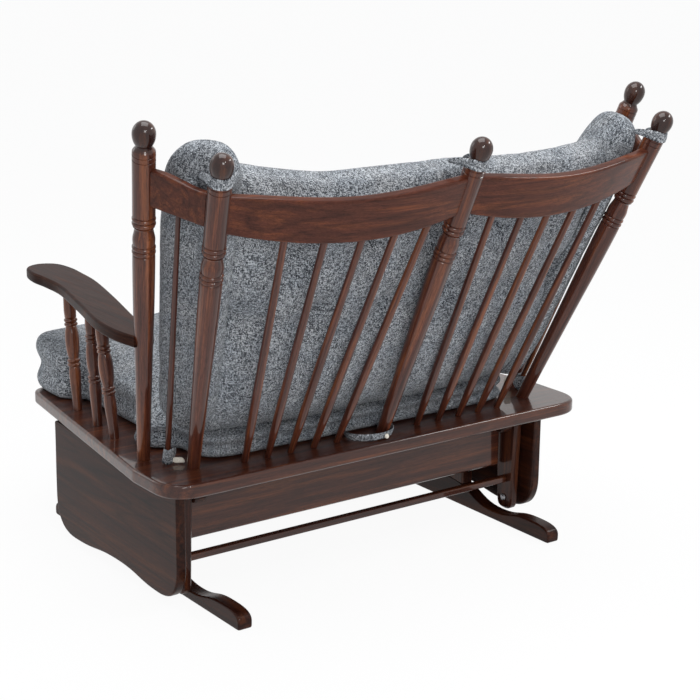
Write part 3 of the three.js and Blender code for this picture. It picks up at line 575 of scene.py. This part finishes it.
# Arms: each is a flat hardwood board that sweeps in from behind its wing post and widens to a paddle at the
# front. Its edges are rounded, and it rests on three short turned spindles with two pairs of beads each.
arm_bottom, arm_top = (corner.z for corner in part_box("left_arm"))
arm_length, arm_width, arm_sweep, arm_ease = 0.762, 0.096, 0.126, 0.0095
arm_places = (0, 0.1, 0.24, 0.45, 0.67, 0.8, 0.88, 0.95, 0.985)
arm_sweeps = (1, 0.95, 0.79, 0.45, 0.125, 0.04, 0.02, 0, 0)
arm_widths = (0.5, 0.78, 0.96, 1, 1.02, 1.08, 1.14, 0.98, 0.62)
arm_spindle_inset = 0.044
arm_spindle_setbacks = (0.38, 0.489, 0.626)
arm_spindle_splays = (0.019, 0.008, -0.005)
arm_spindle_forwards = (0.017, 0.005, 0.039)


def arm_spindle_profile(length):
    parts = [(-0.008, 0), (-0.008, 0.0128), (0.03, 0.0142), (0.05, 0.0148), (0.066, 0.014)]
    parts += bead(0.067, 0.01, 0.0128, 0.0162) + bead(0.077, 0.01, 0.0128, 0.0162)[1:]
    parts += eased([(0.088, 0.0132), (0.1, 0.0158), (0.121, 0.0172), (0.145, 0.0158), (0.16, 0.0132)], 4)
    parts += bead(0.165, 0.01, 0.0124, 0.0158) + bead(0.175, 0.01, 0.0124, 0.0158)[1:]
    parts += eased([
        (0.186, 0.0128), (0.2, 0.0142), (0.219, 0.0138), (length * 0.9, 0.0118), (length + 0.01, 0.0108),
    ], 4)
    return parts + [(length + 0.01, 0)]


for side, hand in hands:
    rear = at_height(wing_line(side), arm_top)
    front_x = rear.x - side * arm_sweep
    edges = {}
    for way in (1, -1):
        edges[way] = [
            (front_x + side * arm_sweep * sweep + way * arm_width * width / 2, rear.y - arm_length * place)
            for place, sweep, width in zip(arm_places, arm_sweeps, arm_widths)
        ]
    loop = eased(edges[-1] + [(front_x, rear.y - arm_length)] + edges[1][::-1], 8)
    arm = plank([Vector(point) for point in loop], arm_top - arm_bottom, arm_ease, 6)
    bmesh.ops.translate(arm, verts=arm.verts, vec=(0, 0, arm_bottom))
    settle(arm, f"{hand}_arm_board", wood_arm, "seat", "wood", f"{hand}_arm")
    for number, setback in enumerate(arm_spindle_setbacks):
        line = leaning(
            side * (seat_half_width(setback) - arm_spindle_inset), setback, side * arm_spindle_splays[number],
            -arm_spindle_forwards[number], arm_bottom - seat_top,
        )
        length = (line[1] - line[0]).length
        piece = stand_on_seat(turning(arm_spindle_profile(length), line, 28, number + 40 + side))
        name = f"{hand}_arm_spindle_{number + 1}"
        settle(piece, f"{name}_turning", wood_turned, "seat", "wood", name, crease=50, weighted=False)


# Side panels: a broad board hangs under each end of the seat and covers the swing arms. Its lower corners
# are round and its lower edge is waved.
def bezier(points, steps):
    """The points of one or more joined curves, each with two handles, after the first point."""
    curve = []
    for index in range(0, len(points) - 3, 3):
        a, b, c, d = (Vector(point) for point in points[index:index + 4])
        for step in range(steps):
            t = step / steps
            curve.append(a * (1 - t) ** 3 + b * 3 * t * (1 - t) ** 2 + c * 3 * t * t * (1 - t) + d * t**3)
    return curve


panel_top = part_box("left_side_panel")[1].z
panel_bottom, wave_top, panel_corner = 0.022, 0.037, 0.088
panel_rear, panel_front = rear_edge - 0.085, rear_edge - 0.667
panel_bulge, crown = panel_front - 0.003, rear_edge - 0.36
rear_flat, front_flat = panel_rear - panel_corner, panel_bulge + 0.09
rear_half, front_half = (rear_flat + crown) / 2, (front_flat + crown) / 2
shoulder = panel_bottom + 0.09
front_middle = (panel_top + shoulder) / 2
round_share, board_ease = 2 / 3, 0.005


def on_edge(node, outline):
    """A board in a solid's place, with its outline along y and z and its thickness along x."""
    low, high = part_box(node)
    board = plank(outline, high.x - low.x, board_ease)
    turn = Matrix(((0, 0, 1, low.x), (1, 0, 0, 0), (0, 1, 0, 0), (0, 0, 0, 1)))
    bmesh.ops.transform(board, matrix=turn, verts=board.verts)
    return board


def quarter(start, corner, end):
    """Handles that make one curve of a corner's start, its corner point and its end."""
    start, corner, end = Vector(start), Vector(corner), Vector(end)
    return [start.lerp(corner, round_share), end.lerp(corner, round_share), end]


panel_curve = [(panel_front, panel_top), (panel_front, front_middle), (panel_bulge, front_middle)]
panel_curve += [(panel_bulge, shoulder)]
panel_curve += quarter((panel_bulge, shoulder), (panel_bulge, panel_bottom), (front_flat, panel_bottom))
panel_curve += [(front_half, panel_bottom), (front_half, wave_top), (crown, wave_top)]
panel_curve += [(rear_half, wave_top), (rear_half, panel_bottom), (rear_flat, panel_bottom)]
panel_curve += quarter(
    (rear_flat, panel_bottom), (panel_rear, panel_bottom), (panel_rear, panel_bottom + panel_corner)
)
panel_outline = bezier(panel_curve, 16)
panel_outline += [Vector((panel_rear, panel_bottom + panel_corner)), Vector((panel_rear, panel_top))]
for hand in ("left", "right"):
    panel = on_edge(f"{hand}_side_panel", panel_outline)
    settle(panel, f"{hand}_side_board", wood_deep, "seat", "wood", f"{hand}_side_panel")


# Feet: a long shaped board stands on edge on the floor at each side, with a nose, a hump and a waist at
# both ends and a crown in the middle, where the upright stands on it.
base_middle = rear_edge - 0.375
foot_half = [
    (0.422, 0), (0.437, 0), (0.437, 0), (0.437, 0.017), (0.437, 0.041), (0.399, 0.041), (0.361, 0.041),
    (0.2945, 0.041), (0.2945, 0.023), (0.228, 0.023), (0.139, 0.023), (0.139, 0.066), (0.05, 0.066),
]
foot_outline = bezier([(base_middle + place, z) for place, z in foot_half], 14)
foot_outline += [Vector((base_middle + 0.05, 0.066))]
foot_outline += bezier([(base_middle - place, z) for place, z in reversed(foot_half)], 14)
foot_outline += [Vector((base_middle - 0.422, 0))]
for hand in ("left", "right"):
    foot = on_edge(f"{hand}_foot", foot_outline)
    settle(foot, f"{hand}_foot_board", wood_deep, "base", "wood", f"{hand}_foot")


# Base frame and swings: uprights, top rails, aprons, swing arms and stretcher bars are plain boards, joined
# flush. They keep their solids, and only their edges are softened, as by sanding.
def softened(node, material, width, segments, crease):
    """Gives a solid its finish, joins its loose faces and rounds its edges."""
    node.data.materials.clear()
    node.data.materials.append(material)
    join = node.modifiers.new("joined", "WELD")
    join.merge_threshold = 0.00005
    soften = node.modifiers.new("softened", "BEVEL")
    soften.width = width
    soften.segments = segments
    soften.limit_method = "ANGLE"
    soften.angle_limit = math.radians(crease)


frame_boards = {
    wood_across: ("rear_apron", "front_apron", "rear_stretcher_bar", "front_stretcher_bar"),
    wood_deep: ("left_top_rail", "right_top_rail"),
    wood_upright: (
        "left_upright", "right_upright", "left_rear_swing_arm", "right_rear_swing_arm",
        "left_front_swing_arm", "right_front_swing_arm",
    ),
}
for material, names in frame_boards.items():
    for name in names:
        softened(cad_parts[name], material, width=0.0012, segments=3, crease=25)


# Pivot bolts: plain steel, a little dulled, with fine turning marks.
# The upper four hang the swing arms on the base, and the lower four carry the side panels.
bolt_steel, steel_tree, steel_shader = finish("bolt_steel")
steel_spot = steel_tree.nodes.new("ShaderNodeTexCoord").outputs["Object"]
steel_grain = noise_at(steel_tree, steel_spot, (4000, 300, 300))
steel_tone = toned(steel_tree, steel_grain, [(0.3, (0.2, 0.2, 0.21)), (0.7, (0.42, 0.42, 0.44))])
steel_roughness = calculated(steel_tree, "MULTIPLY_ADD", steel_grain, 0.3, 0.2)
feed(steel_shader, {"Base Color": steel_tone, "Roughness": steel_roughness, "Metallic": 1})
for name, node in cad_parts.items():
    if name.endswith("bolt"):
        softened(node, bolt_steel, width=0.0006, segments=2, crease=40)


# Cushion cloth: a heathered tweed of pale, grey and near-black threads in a plain weave.
# Each cushion carries its cloth's own place, so that the threads follow its surface.
thread_pitch = 0.0018
thread_stretch = thread_pitch * 2.5
tweed, tweed_tree, tweed_shader = finish("heathered_tweed")
tweed_spot = attribute(tweed_tree, "cloth_place")["Vector"]
thread_stops = [
    (0.0, (0.03, 0.032, 0.037)), (0.3, (0.08, 0.086, 0.096)), (0.55, (0.22, 0.232, 0.248)),
    (0.8, (0.46, 0.48, 0.5)), (1.0, (0.6, 0.62, 0.64)),
]


def thread_cells(length, width):
    """A shade of its own for each short stretch of each thread."""
    snapped = tweed_tree.nodes.new("ShaderNodeVectorMath")
    snapped.operation = "SNAP"
    feed(snapped, {0: tweed_spot, 1: (length, width, 10)})
    cells = tweed_tree.nodes.new("ShaderNodeTexWhiteNoise")
    feed(cells, {"Vector": snapped.outputs["Vector"]})
    return cells.outputs["Value"]


across_tone = toned(tweed_tree, thread_cells(thread_stretch, thread_pitch), thread_stops)
up_tone = toned(tweed_tree, thread_cells(thread_pitch, thread_stretch), thread_stops)
over_under = tweed_tree.nodes.new("ShaderNodeTexChecker")
feed(over_under, {"Vector": tweed_spot, "Scale": 1 / thread_pitch})
tweed_colour = mixed(tweed_tree, "MIX", over_under.outputs["Fac"], across_tone, up_tone)
clouds = noise_at(tweed_tree, tweed_spot, (14, 14, 0))
cloud_tone = toned(tweed_tree, clouds, [(0.35, (0.84, 0.87, 0.9)), (0.65, (1, 1, 1))])
tweed_colour = mixed(tweed_tree, "MULTIPLY", 1, tweed_colour, cloud_tone)
feed(tweed_shader, {"Base Color": tweed_colour, "Roughness": 0.95, "Specular IOR Level": 0.12})
feed(tweed_shader, {"Sheen Weight": 0.1, "Sheen Roughness": 0.5})
tweed_parts = tweed_tree.nodes.new("ShaderNodeSeparateXYZ")
feed(tweed_parts, {"Vector": tweed_spot})
ridges = []
for way in ("X", "Y"):
    threads = calculated(tweed_tree, "MULTIPLY", tweed_parts.outputs[way], 2 / thread_pitch)
    ridges.append(calculated(tweed_tree, "PINGPONG", threads, 1))
weave_height = calculated(tweed_tree, "MULTIPLY", *ridges)
bump(tweed_tree, tweed_shader, weave_height, strength=0.6, distance=0.0008)


# Seat cushion: a thick soft box that lies on the seat board, between the arm spindles. It crowns in the
# middle and bulges out behind the rear arm spindles and before the front ones.
def pillow(sizes, cuts, corner_power, place):
    """A closed cube of even squares, each corner of it moved to the place for (across, up, share, ring).
    Sizes are half the width, height and thickness, for the cloth's own place."""
    piece = bmesh.new()
    bmesh.ops.create_cube(piece, size=2)
    for axis in range(3):
        edges = [e for e in piece.edges if abs(e.verts[0].co[axis] - e.verts[1].co[axis]) > 1]
        bmesh.ops.subdivide_edges(piece, edges=edges, cuts=cuts[axis] - 1, use_grid_fill=True)
    cloth = piece.verts.layers.float_vector.new("cloth_place")
    for vert in piece.verts:
        a, b, share = vert.co
        past = (1 - abs(share)) * sizes[2]
        u = a * sizes[0] + (math.copysign(past, a) if abs(a) > 0.999 else 0)
        v = b * sizes[1] + (math.copysign(past, b) if abs(b) > 0.999 else 0)
        vert[cloth] = (u + 3, v + 3, 0)
        ring = max(abs(a), abs(b))
        reach = (abs(a) ** corner_power + abs(b) ** corner_power) ** (1 / corner_power)
        draw = ring / reach if ring > 0 else 1
        vert.co = place(a * draw, b * draw, share, ring)
    return piece


def subdivided(piece, levels):
    rounder = piece.modifiers.new("rounder", "SUBSURF")
    rounder.levels = rounder.render_levels = levels


def puffed(piece, growth, cap, held=()):
    """Blows a cushion up as cloth with a little spare length, and keeps each point near where it was."""
    rest = [vert.co.copy() for vert in piece.data.vertices]
    last_step = 20
    cloth = piece.modifiers.new("cloth", "CLOTH")
    fill = cloth.settings
    fill.quality = 4
    fill.mass = 0.25
    fill.tension_stiffness = fill.compression_stiffness = 12
    fill.shear_stiffness = 4
    fill.bending_stiffness = 0.3
    fill.air_damping = 2
    fill.use_pressure = True
    fill.uniform_pressure_force = 4
    fill.effector_weights.gravity = 0
    fill.shrink_min = -growth
    if held:
        group = piece.vertex_groups.new(name="held")
        group.add(list(held), 1, "REPLACE")
        fill.vertex_group_mass = "held"
    cloth.point_cache.frame_end = last_step
    for step in range(1, last_step + 1):
        scene.frame_set(step)
    shaped = piece.evaluated_get(bpy.context.evaluated_depsgraph_get())
    swollen = [vert.co.copy() for vert in shaped.data.vertices]
    piece.modifiers.remove(cloth)
    scene.frame_set(1)
    for vert, start, end in zip(piece.data.vertices, rest, swollen):
        move = end - start
        if move.length > 1e-9:
            move *= cap * math.tanh(move.length / cap) / move.length
        vert.co = start + move
    piece.data.update()
    subdivided(piece, 1)


def kept_off(piece, neighbour, gap=0.0006):
    """Presses a soft piece's points out of a neighbour, so that the two only touch."""
    points = [vert.co.copy() for vert in neighbour.data.vertices]
    shell = BVHTree.FromPolygons(points, [tuple(face.vertices) for face in neighbour.data.polygons])
    for vert in piece.data.vertices:
        near, outward, *_ = shell.find_nearest(vert.co, 0.2)
        if near is not None and (vert.co - near).dot(outward) < gap:
            vert.co = near + outward * gap
    piece.data.update()


def fullness(ring):
    return 1 - ring**4


def drawn_in(share, rounding, crease):
    return rounding * share**4 + crease * max(0, 1 - 3 * abs(share))


def smoothstep(value, low, high):
    share = min(max((value - low) / (high - low), 0), 1)
    return share * share * (3 - 2 * share)


def ripple(spot, size, depth):
    """A soft uneven swell of the cloth, the same in each run."""
    return noise.noise(spot / size) * depth


def seat_cushion_ear(setback):
    """How far the cushion's side bulges out, before the front arm spindles and behind the rear ones."""
    front = smoothstep(setback, 0.67275, 0.73275)
    rear = smoothstep(setback, 0.211, 0.271) * (1 - smoothstep(setback, 0.31225, 0.37225))
    return 0.048 * front + 0.06 * rear


arm_spindle_radius, seat_cushion_gap = 0.0155, 0.0208
seat_cushion_half = (
    seat_half_width(arm_spindle_setbacks[-1]) - arm_spindle_inset - arm_spindle_radius - seat_cushion_gap
)
seat_cushion_rear, seat_cushion_half_depth = 0.096, 0.402
seat_cushion_front_edge, seat_cushion_rear_edge, seat_cushion_crown = 0.138, 0.05, 0.15
seat_cushion_low = seat_top + 0.0003


def seat_cushion_place(across, along, share, ring):
    inset = drawn_in(share, 0.024, 0.012)
    setback = seat_cushion_rear + seat_cushion_half_depth - along * (seat_cushion_half_depth - inset)
    edge = lerp(seat_cushion_front_edge, seat_cushion_rear_edge, (along + 1) / 2)
    height = lerp(edge, seat_cushion_crown, fullness(ring))
    x = across * (seat_cushion_half + seat_cushion_ear(setback) - inset)
    z = seat_cushion_low + height * (1 + math.sin(share * math.pi / 2)) / 2
    spot = Vector((x, rear_edge - setback, z))
    if share > -0.99:
        spot.z += ripple(spot, 0.11, 0.004) * (share + 1)
    return spot


cushion = pillow((0.47, 0.4, 0.07), (84, 76, 12), 12, seat_cushion_place)
seat_cushion = settle(cushion, "seat_pad", tweed, "seat", "fabric", "seat_cushion", crease=0, weighted=False)
puffed(seat_cushion, 0.02, 0.006)
for vert in seat_cushion.data.vertices:
    vert.co.z = max(vert.co.z, seat_cushion_low)


# Back cushion: a wide tufted pad that leans on the posts and spindles and rests on the seat cushion.
# Two rows of tufts draw both of its faces in.
tuft_pitch = 0.178
tuft_rows = ((0.808, 0), (0.658, 0.5))
tuft_depth, tuft_reach, tuft_held = 0.045, 0.032, 0.008
pucker_depth, pucker_reach = 0.005, 0.05
back_cushion_gap, back_cushion_half, back_cushion_edge, back_cushion_crown = 0.013, 0.071, 0.06, 0.132
back_cushion_low, back_cushion_half_height = 0.347, 0.302
left_rise, right_dip, right_rise = 0.044, 0.005, 0.01


def tuft_apart(x, z, slope):
    """How far a point of the cushion's face is from the nearest tuft."""
    found = []
    for height, shift in tuft_rows:
        nearest = (round(x / tuft_pitch - shift) + shift) * tuft_pitch
        found.append(math.hypot(x - nearest, (z - height) / slope))
    return min(found)


def back_cushion_place(across, up, share, ring):
    middle, corner = middle_line(), corner_line(1)
    lean = (middle[1] - middle[0]).normalized()
    slope = lean.z
    forward = Vector((0, -slope, lean.y))
    distance = post_radius + back_cushion_gap + back_cushion_half
    inset = drawn_in(share, 0.02, 0)
    rise = left_rise * smoothstep(across, 0.42, 1) - right_dip * smoothstep(-across, 0, 0.3)
    rise += right_rise * smoothstep(-across, 0.5, 1)
    half = back_cushion_half_height
    z = back_cushion_low + half + rise * (up + 1) / 2 + up * (half - inset * slope)
    end = at_height(corner, z)
    x = across * (end.x + 0.016 + 0.018 * smoothstep(up, 0.55, 0.95) - inset)
    span = abs(x) / end.x
    plane = at_height(middle, z).lerp(end, span**2)
    plane.y += bowed(0.022, min(span, 1))
    thick = lerp(back_cushion_edge, back_cushion_crown, fullness(ring))
    apart = tuft_apart(x, z, slope)
    inside = abs(up) < 0.9 and abs(across) < 0.95
    draw = tuft_depth * math.exp(-((apart / tuft_reach) ** 1.2)) if inside else 0
    turn = math.atan2((z - 0.73) * 3 + across, x * 2 - across)
    draw += pucker_depth * math.cos(turn * 11 + x * 60 + z * 45) * math.exp(-((apart / pucker_reach) ** 2))
    face = math.sin(share * math.pi / 2) * (thick / 2 - draw)
    return Vector((x, plane.y, z)) + forward * (distance - face)


cushion = pillow((0.56, 0.31, 0.05), (116, 62, 10), 12, back_cushion_place)
back_cushion = settle(cushion, "back_pad", tweed, "seat", "fabric", "back_cushion", crease=0, weighted=False)
back_slope = (middle_line()[1] - middle_line()[0]).normalized().z
tufted = [
    vert.index for vert in back_cushion.data.vertices
    if abs(vert.co.x) < 0.52 and 0.6 < vert.co.z < 0.86
    and tuft_apart(vert.co.x, vert.co.z, back_slope) < tuft_held
]
puffed(back_cushion, 0.045, 0.013, tufted)
kept_off(back_cushion, seat_cushion)


# Wing pads: a narrow padded cushion of the same cloth stands inside each wing and bulges over its rail.
# The back cushion and the seat cushion press against it.
wing_pad_edge, wing_pad_crown, wing_pad_reach = 0.044, 0.08, 0.57


def wing_pad_place(side):
    wing, corner = wing_line(side), corner_line(side)
    lean = (wing[1] - wing[0]).normalized()
    inward = (corner[0] - wing[0]).cross(lean).normalized() * -side
    low, high = (0.408, 1.016) if side > 0 else (0.372, 0.996)

    def place(along, up, share, ring):
        inset = drawn_in(share, 0.016, 0)
        half = (high - low) / 2
        rise = 0.034 * (1 - along**2)
        z = low + half + rise * (up + 1) / 2 + up * (half - inset)
        span = (at_height(wing, z) - at_height(corner, z)).length
        spot_share = wing_pad_reach + along * (wing_pad_reach - inset / span)
        thick = lerp(wing_pad_edge, wing_pad_crown, fullness(ring))
        face = math.sin(share * math.pi / 2) * thick / 2
        distance = post_radius + 0.005 + lerp(0.04, 0.025, smoothstep(along, 0.2, 1)) - face
        return at_height(wing, z).lerp(at_height(corner, z), spot_share) + inward * distance

    return place


for side, hand in hands:
    cushion = pillow((0.1, 0.31, 0.035), (26, 62, 8), 5, wing_pad_place(side))
    name = f"{hand}_wing_cushion"
    pad = settle(cushion, name, tweed, "seat", "fabric", f"{hand}_wing_pad", crease=0, weighted=False)
    puffed(pad, 0.03, 0.008)
    kept_off(pad, back_cushion)
    kept_off(pad, seat_cushion)


# Loops: a flat band of the cushions' own cloth goes round each corner post and the middle post, just under
# the finial. Its two ends are narrow and run out towards the cushions' tops.
def band(name, path, material, thickness, *, smooth=2):
    """A flat strap along a path of (lower edge, upper edge) points, thickened outwards."""
    strip = bmesh.new()
    cloth = strip.verts.layers.float_vector.new("cloth_place")
    low, high = (strip.verts.new(point) for point in path[0])
    edge = strip.edges.new((low, high))
    run = 2.0
    low[cloth] = (run, 1, 0)
    high[cloth] = (run, 1 + (path[0][1] - path[0][0]).length, 0)
    for before, after in zip(path, path[1:]):
        run += (after[0] - before[0]).length
        grown = bmesh.ops.extrude_edge_only(strip, edges=[edge])["geom"]
        edge = next(item for item in grown if isinstance(item, bmesh.types.BMEdge))
        lower, upper = edge.verts
        if (lower.co - before[0]).length > (upper.co - before[0]).length:
            lower, upper = upper, lower
        lower.co, upper.co = after
        lower[cloth] = (run, 1, 0)
        upper[cloth] = (run, 1 + (after[1] - after[0]).length, 0)
    bmesh.ops.recalc_face_normals(strip, faces=strip.faces)
    bmesh.ops.solidify(strip, geom=strip.faces, thickness=thickness)
    subdivided(settle(strip, name, material, "seat", "fabric", crease=0, weighted=False), smooth)


loop_drop, loop_lower, loop_upper = 0.0275, 0.0125, 0.0115
loop_lower_radius, loop_upper_radius, loop_thickness = 0.0282, 0.0228, 0.0036


def post_loop(name, line, *ends):
    """A loop round a post: each end runs off in a direction, for a reach, and dips by a drop."""
    foot, top = line
    up = (top - foot).normalized()
    centre = top - up * loop_drop
    ways = []
    for direction, _, _ in ends:
        way = Vector(direction)
        ways.append((way - up * way.dot(up)).normalized())
    ahead = (ways[0] + ways[1]).normalized()
    side = up.cross(ahead)
    if side.dot(ways[1]) < 0:
        side = -side
    wrap = math.pi / 2 - ahead.angle(ways[0]) + 0.25
    path = []
    steps = 18
    for step in range(steps + 1):
        angle = lerp(-wrap, wrap, step / steps)
        spread = side * math.sin(angle) - ahead * math.cos(angle)
        low = centre + spread * loop_lower_radius - up * loop_lower
        path.append((low, centre + spread * loop_upper_radius + up * loop_upper))
    for index, (_, reach, drop) in enumerate(ends):
        lean = side * (-0.008 if index == 0 else 0.008)
        far = centre + ways[index] * reach + lean - up * drop
        near = centre + ways[index] * reach * 0.55 + lean * 2 - up * drop * 0.4
        pairs = [(near - up * 0.0095, near + up * 0.009), (far - up * 0.006, far + up * 0.005)]
        path = pairs[::-1] + path if index == 0 else path + pairs
    band(name, path, tweed, loop_thickness)


post_loop("middle_loop", middle_line(), ((0.75, -0.8, 0), 0.058, 0.02), ((-0.15, -1, 0), 0.06, 0.032))
for side, hand in hands:
    toward_back = ((-side, -0.5, 0), 0.06, 0.012)
    toward_wing = ((side * 0.2, -1, 0), 0.05, 0.022)
    post_loop(f"{hand}_corner_loop", corner_line(side), toward_back, toward_wing)


# Seat ties: a flat strap of the same cloth stands on the seat board round the middle post's foot and closes
# with a small snap, and a shorter one goes round each wing spindle's foot, with its pale lining turned out.
lining, lining_tree, lining_shader = finish("tie_lining")
lining_spot = lining_tree.nodes.new("ShaderNodeTexCoord").outputs["Object"]
lining_grain = noise_at(lining_tree, lining_spot, (700, 700, 700), 1)
lining_tone = toned(lining_tree, lining_grain, [(0.35, (0.66, 0.61, 0.52)), (0.65, (0.86, 0.82, 0.72))])
feed(lining_shader, {"Base Color": lining_tone, "Roughness": 0.9})
strap_places = (
    (0.06, -0.118), (0.076, -0.098), (0.088, -0.07), (0.084, -0.046), (0.068, -0.03), (0.044, -0.02),
    (0.018, -0.02), (-0.008, -0.027), (-0.028, -0.045), (-0.036, -0.072), (-0.034, -0.098), (-0.028, -0.118),
)
strap_height, strap_flare, strap_thickness = 0.019, 0.005, 0.003
strap_path = []
for x, y in strap_places:
    foot = Vector((x, rear_edge + y, seat_top + 0.0012))
    away = Vector((x - 0.026, y + 0.075, 0)).normalized()
    strap_path.append((foot, foot + away * strap_flare + Vector((0, 0, strap_height))))
band("middle_post_strap", strap_path, tweed, strap_thickness)


def snap(name, place, facing, radius, material):
    """A little domed cap whose flat side lies against the cloth."""
    height = radius * 0.5
    dome = [(math.cos(math.pi / 2 * step / 5), math.sin(math.pi / 2 * step / 5)) for step in range(6)]
    profile = [(-height * rise, radius * reach) for rise, reach in dome]
    profile += [(0.0006, radius * 0.9), (0.0006, 0)]
    spot = Vector(place)
    piece = turning(profile, (spot - Vector(facing).normalized() * 0.01, spot), 18, 3)
    settle(piece, name, material, "seat", "fabric", crease=50, weighted=False)


snap("strap_snap", (0.012, rear_edge - 0.0165, seat_top + 0.009), (0, 1, 0.25), 0.006, lining)
tie_lower, tie_upper, tie_radius, tie_thickness, lining_thickness = 0.022, 0.021, 0.0125, 0.0026, 0.0014
# Where each lining starts from its spindle's foot, the way it runs, and its width as it turns up
lining_places = {
    "left": ((-0.006, 0.014, 0.002), (-0.84, 0.54, 0), (0.004, -0.006, 0.014)),
    "right": ((0.004, -0.012, 0.002), (0.97, -0.1, 0), (0.002, 0.006, 0.037)),
}
for side, hand in hands:
    wing, corner = wing_line(side), corner_line(side)
    foot = wing[0].lerp(corner[0], wing_spindle_share)
    up = (under_rail((wing, corner), wing_lower, wing_spindle_share) - foot).normalized()
    inward = Vector((-side, -0.55, 0)).normalized()
    across = inward.cross(up).normalized()
    inward = up.cross(across)
    centre = foot + up * 0.025
    path = []
    steps = 18
    for step in range(steps + 1):
        angle = math.radians(lerp(-205, 25, step / steps))
        spread = across * math.cos(angle) + inward * math.sin(angle)
        bulge = tie_radius + 0.001 * math.sin(angle * 5)
        low = centre + spread * bulge - up * tie_lower
        path.append((low, centre + spread * (bulge - 0.003) + up * tie_upper))
    ends = [centre + inward * 0.024 + across * way * 0.009 for way in (-1, 1)]
    pairs = [(far - up * 0.008, far + up * 0.012) for far in ends]
    band(f"{hand}_wing_tie", [pairs[0], *path, pairs[1]], tweed, tie_thickness)
    place, flap, rise = (Vector(values) for values in lining_places[hand])
    start = foot + place
    tab = [(start + flap * reach, start + flap * reach + rise) for reach in (0, 0.01, 0.02, 0.03)]
    band(f"{hand}_wing_tie_lining", tab, lining, lining_thickness, smooth=1)


bpy.context.view_layer.update()
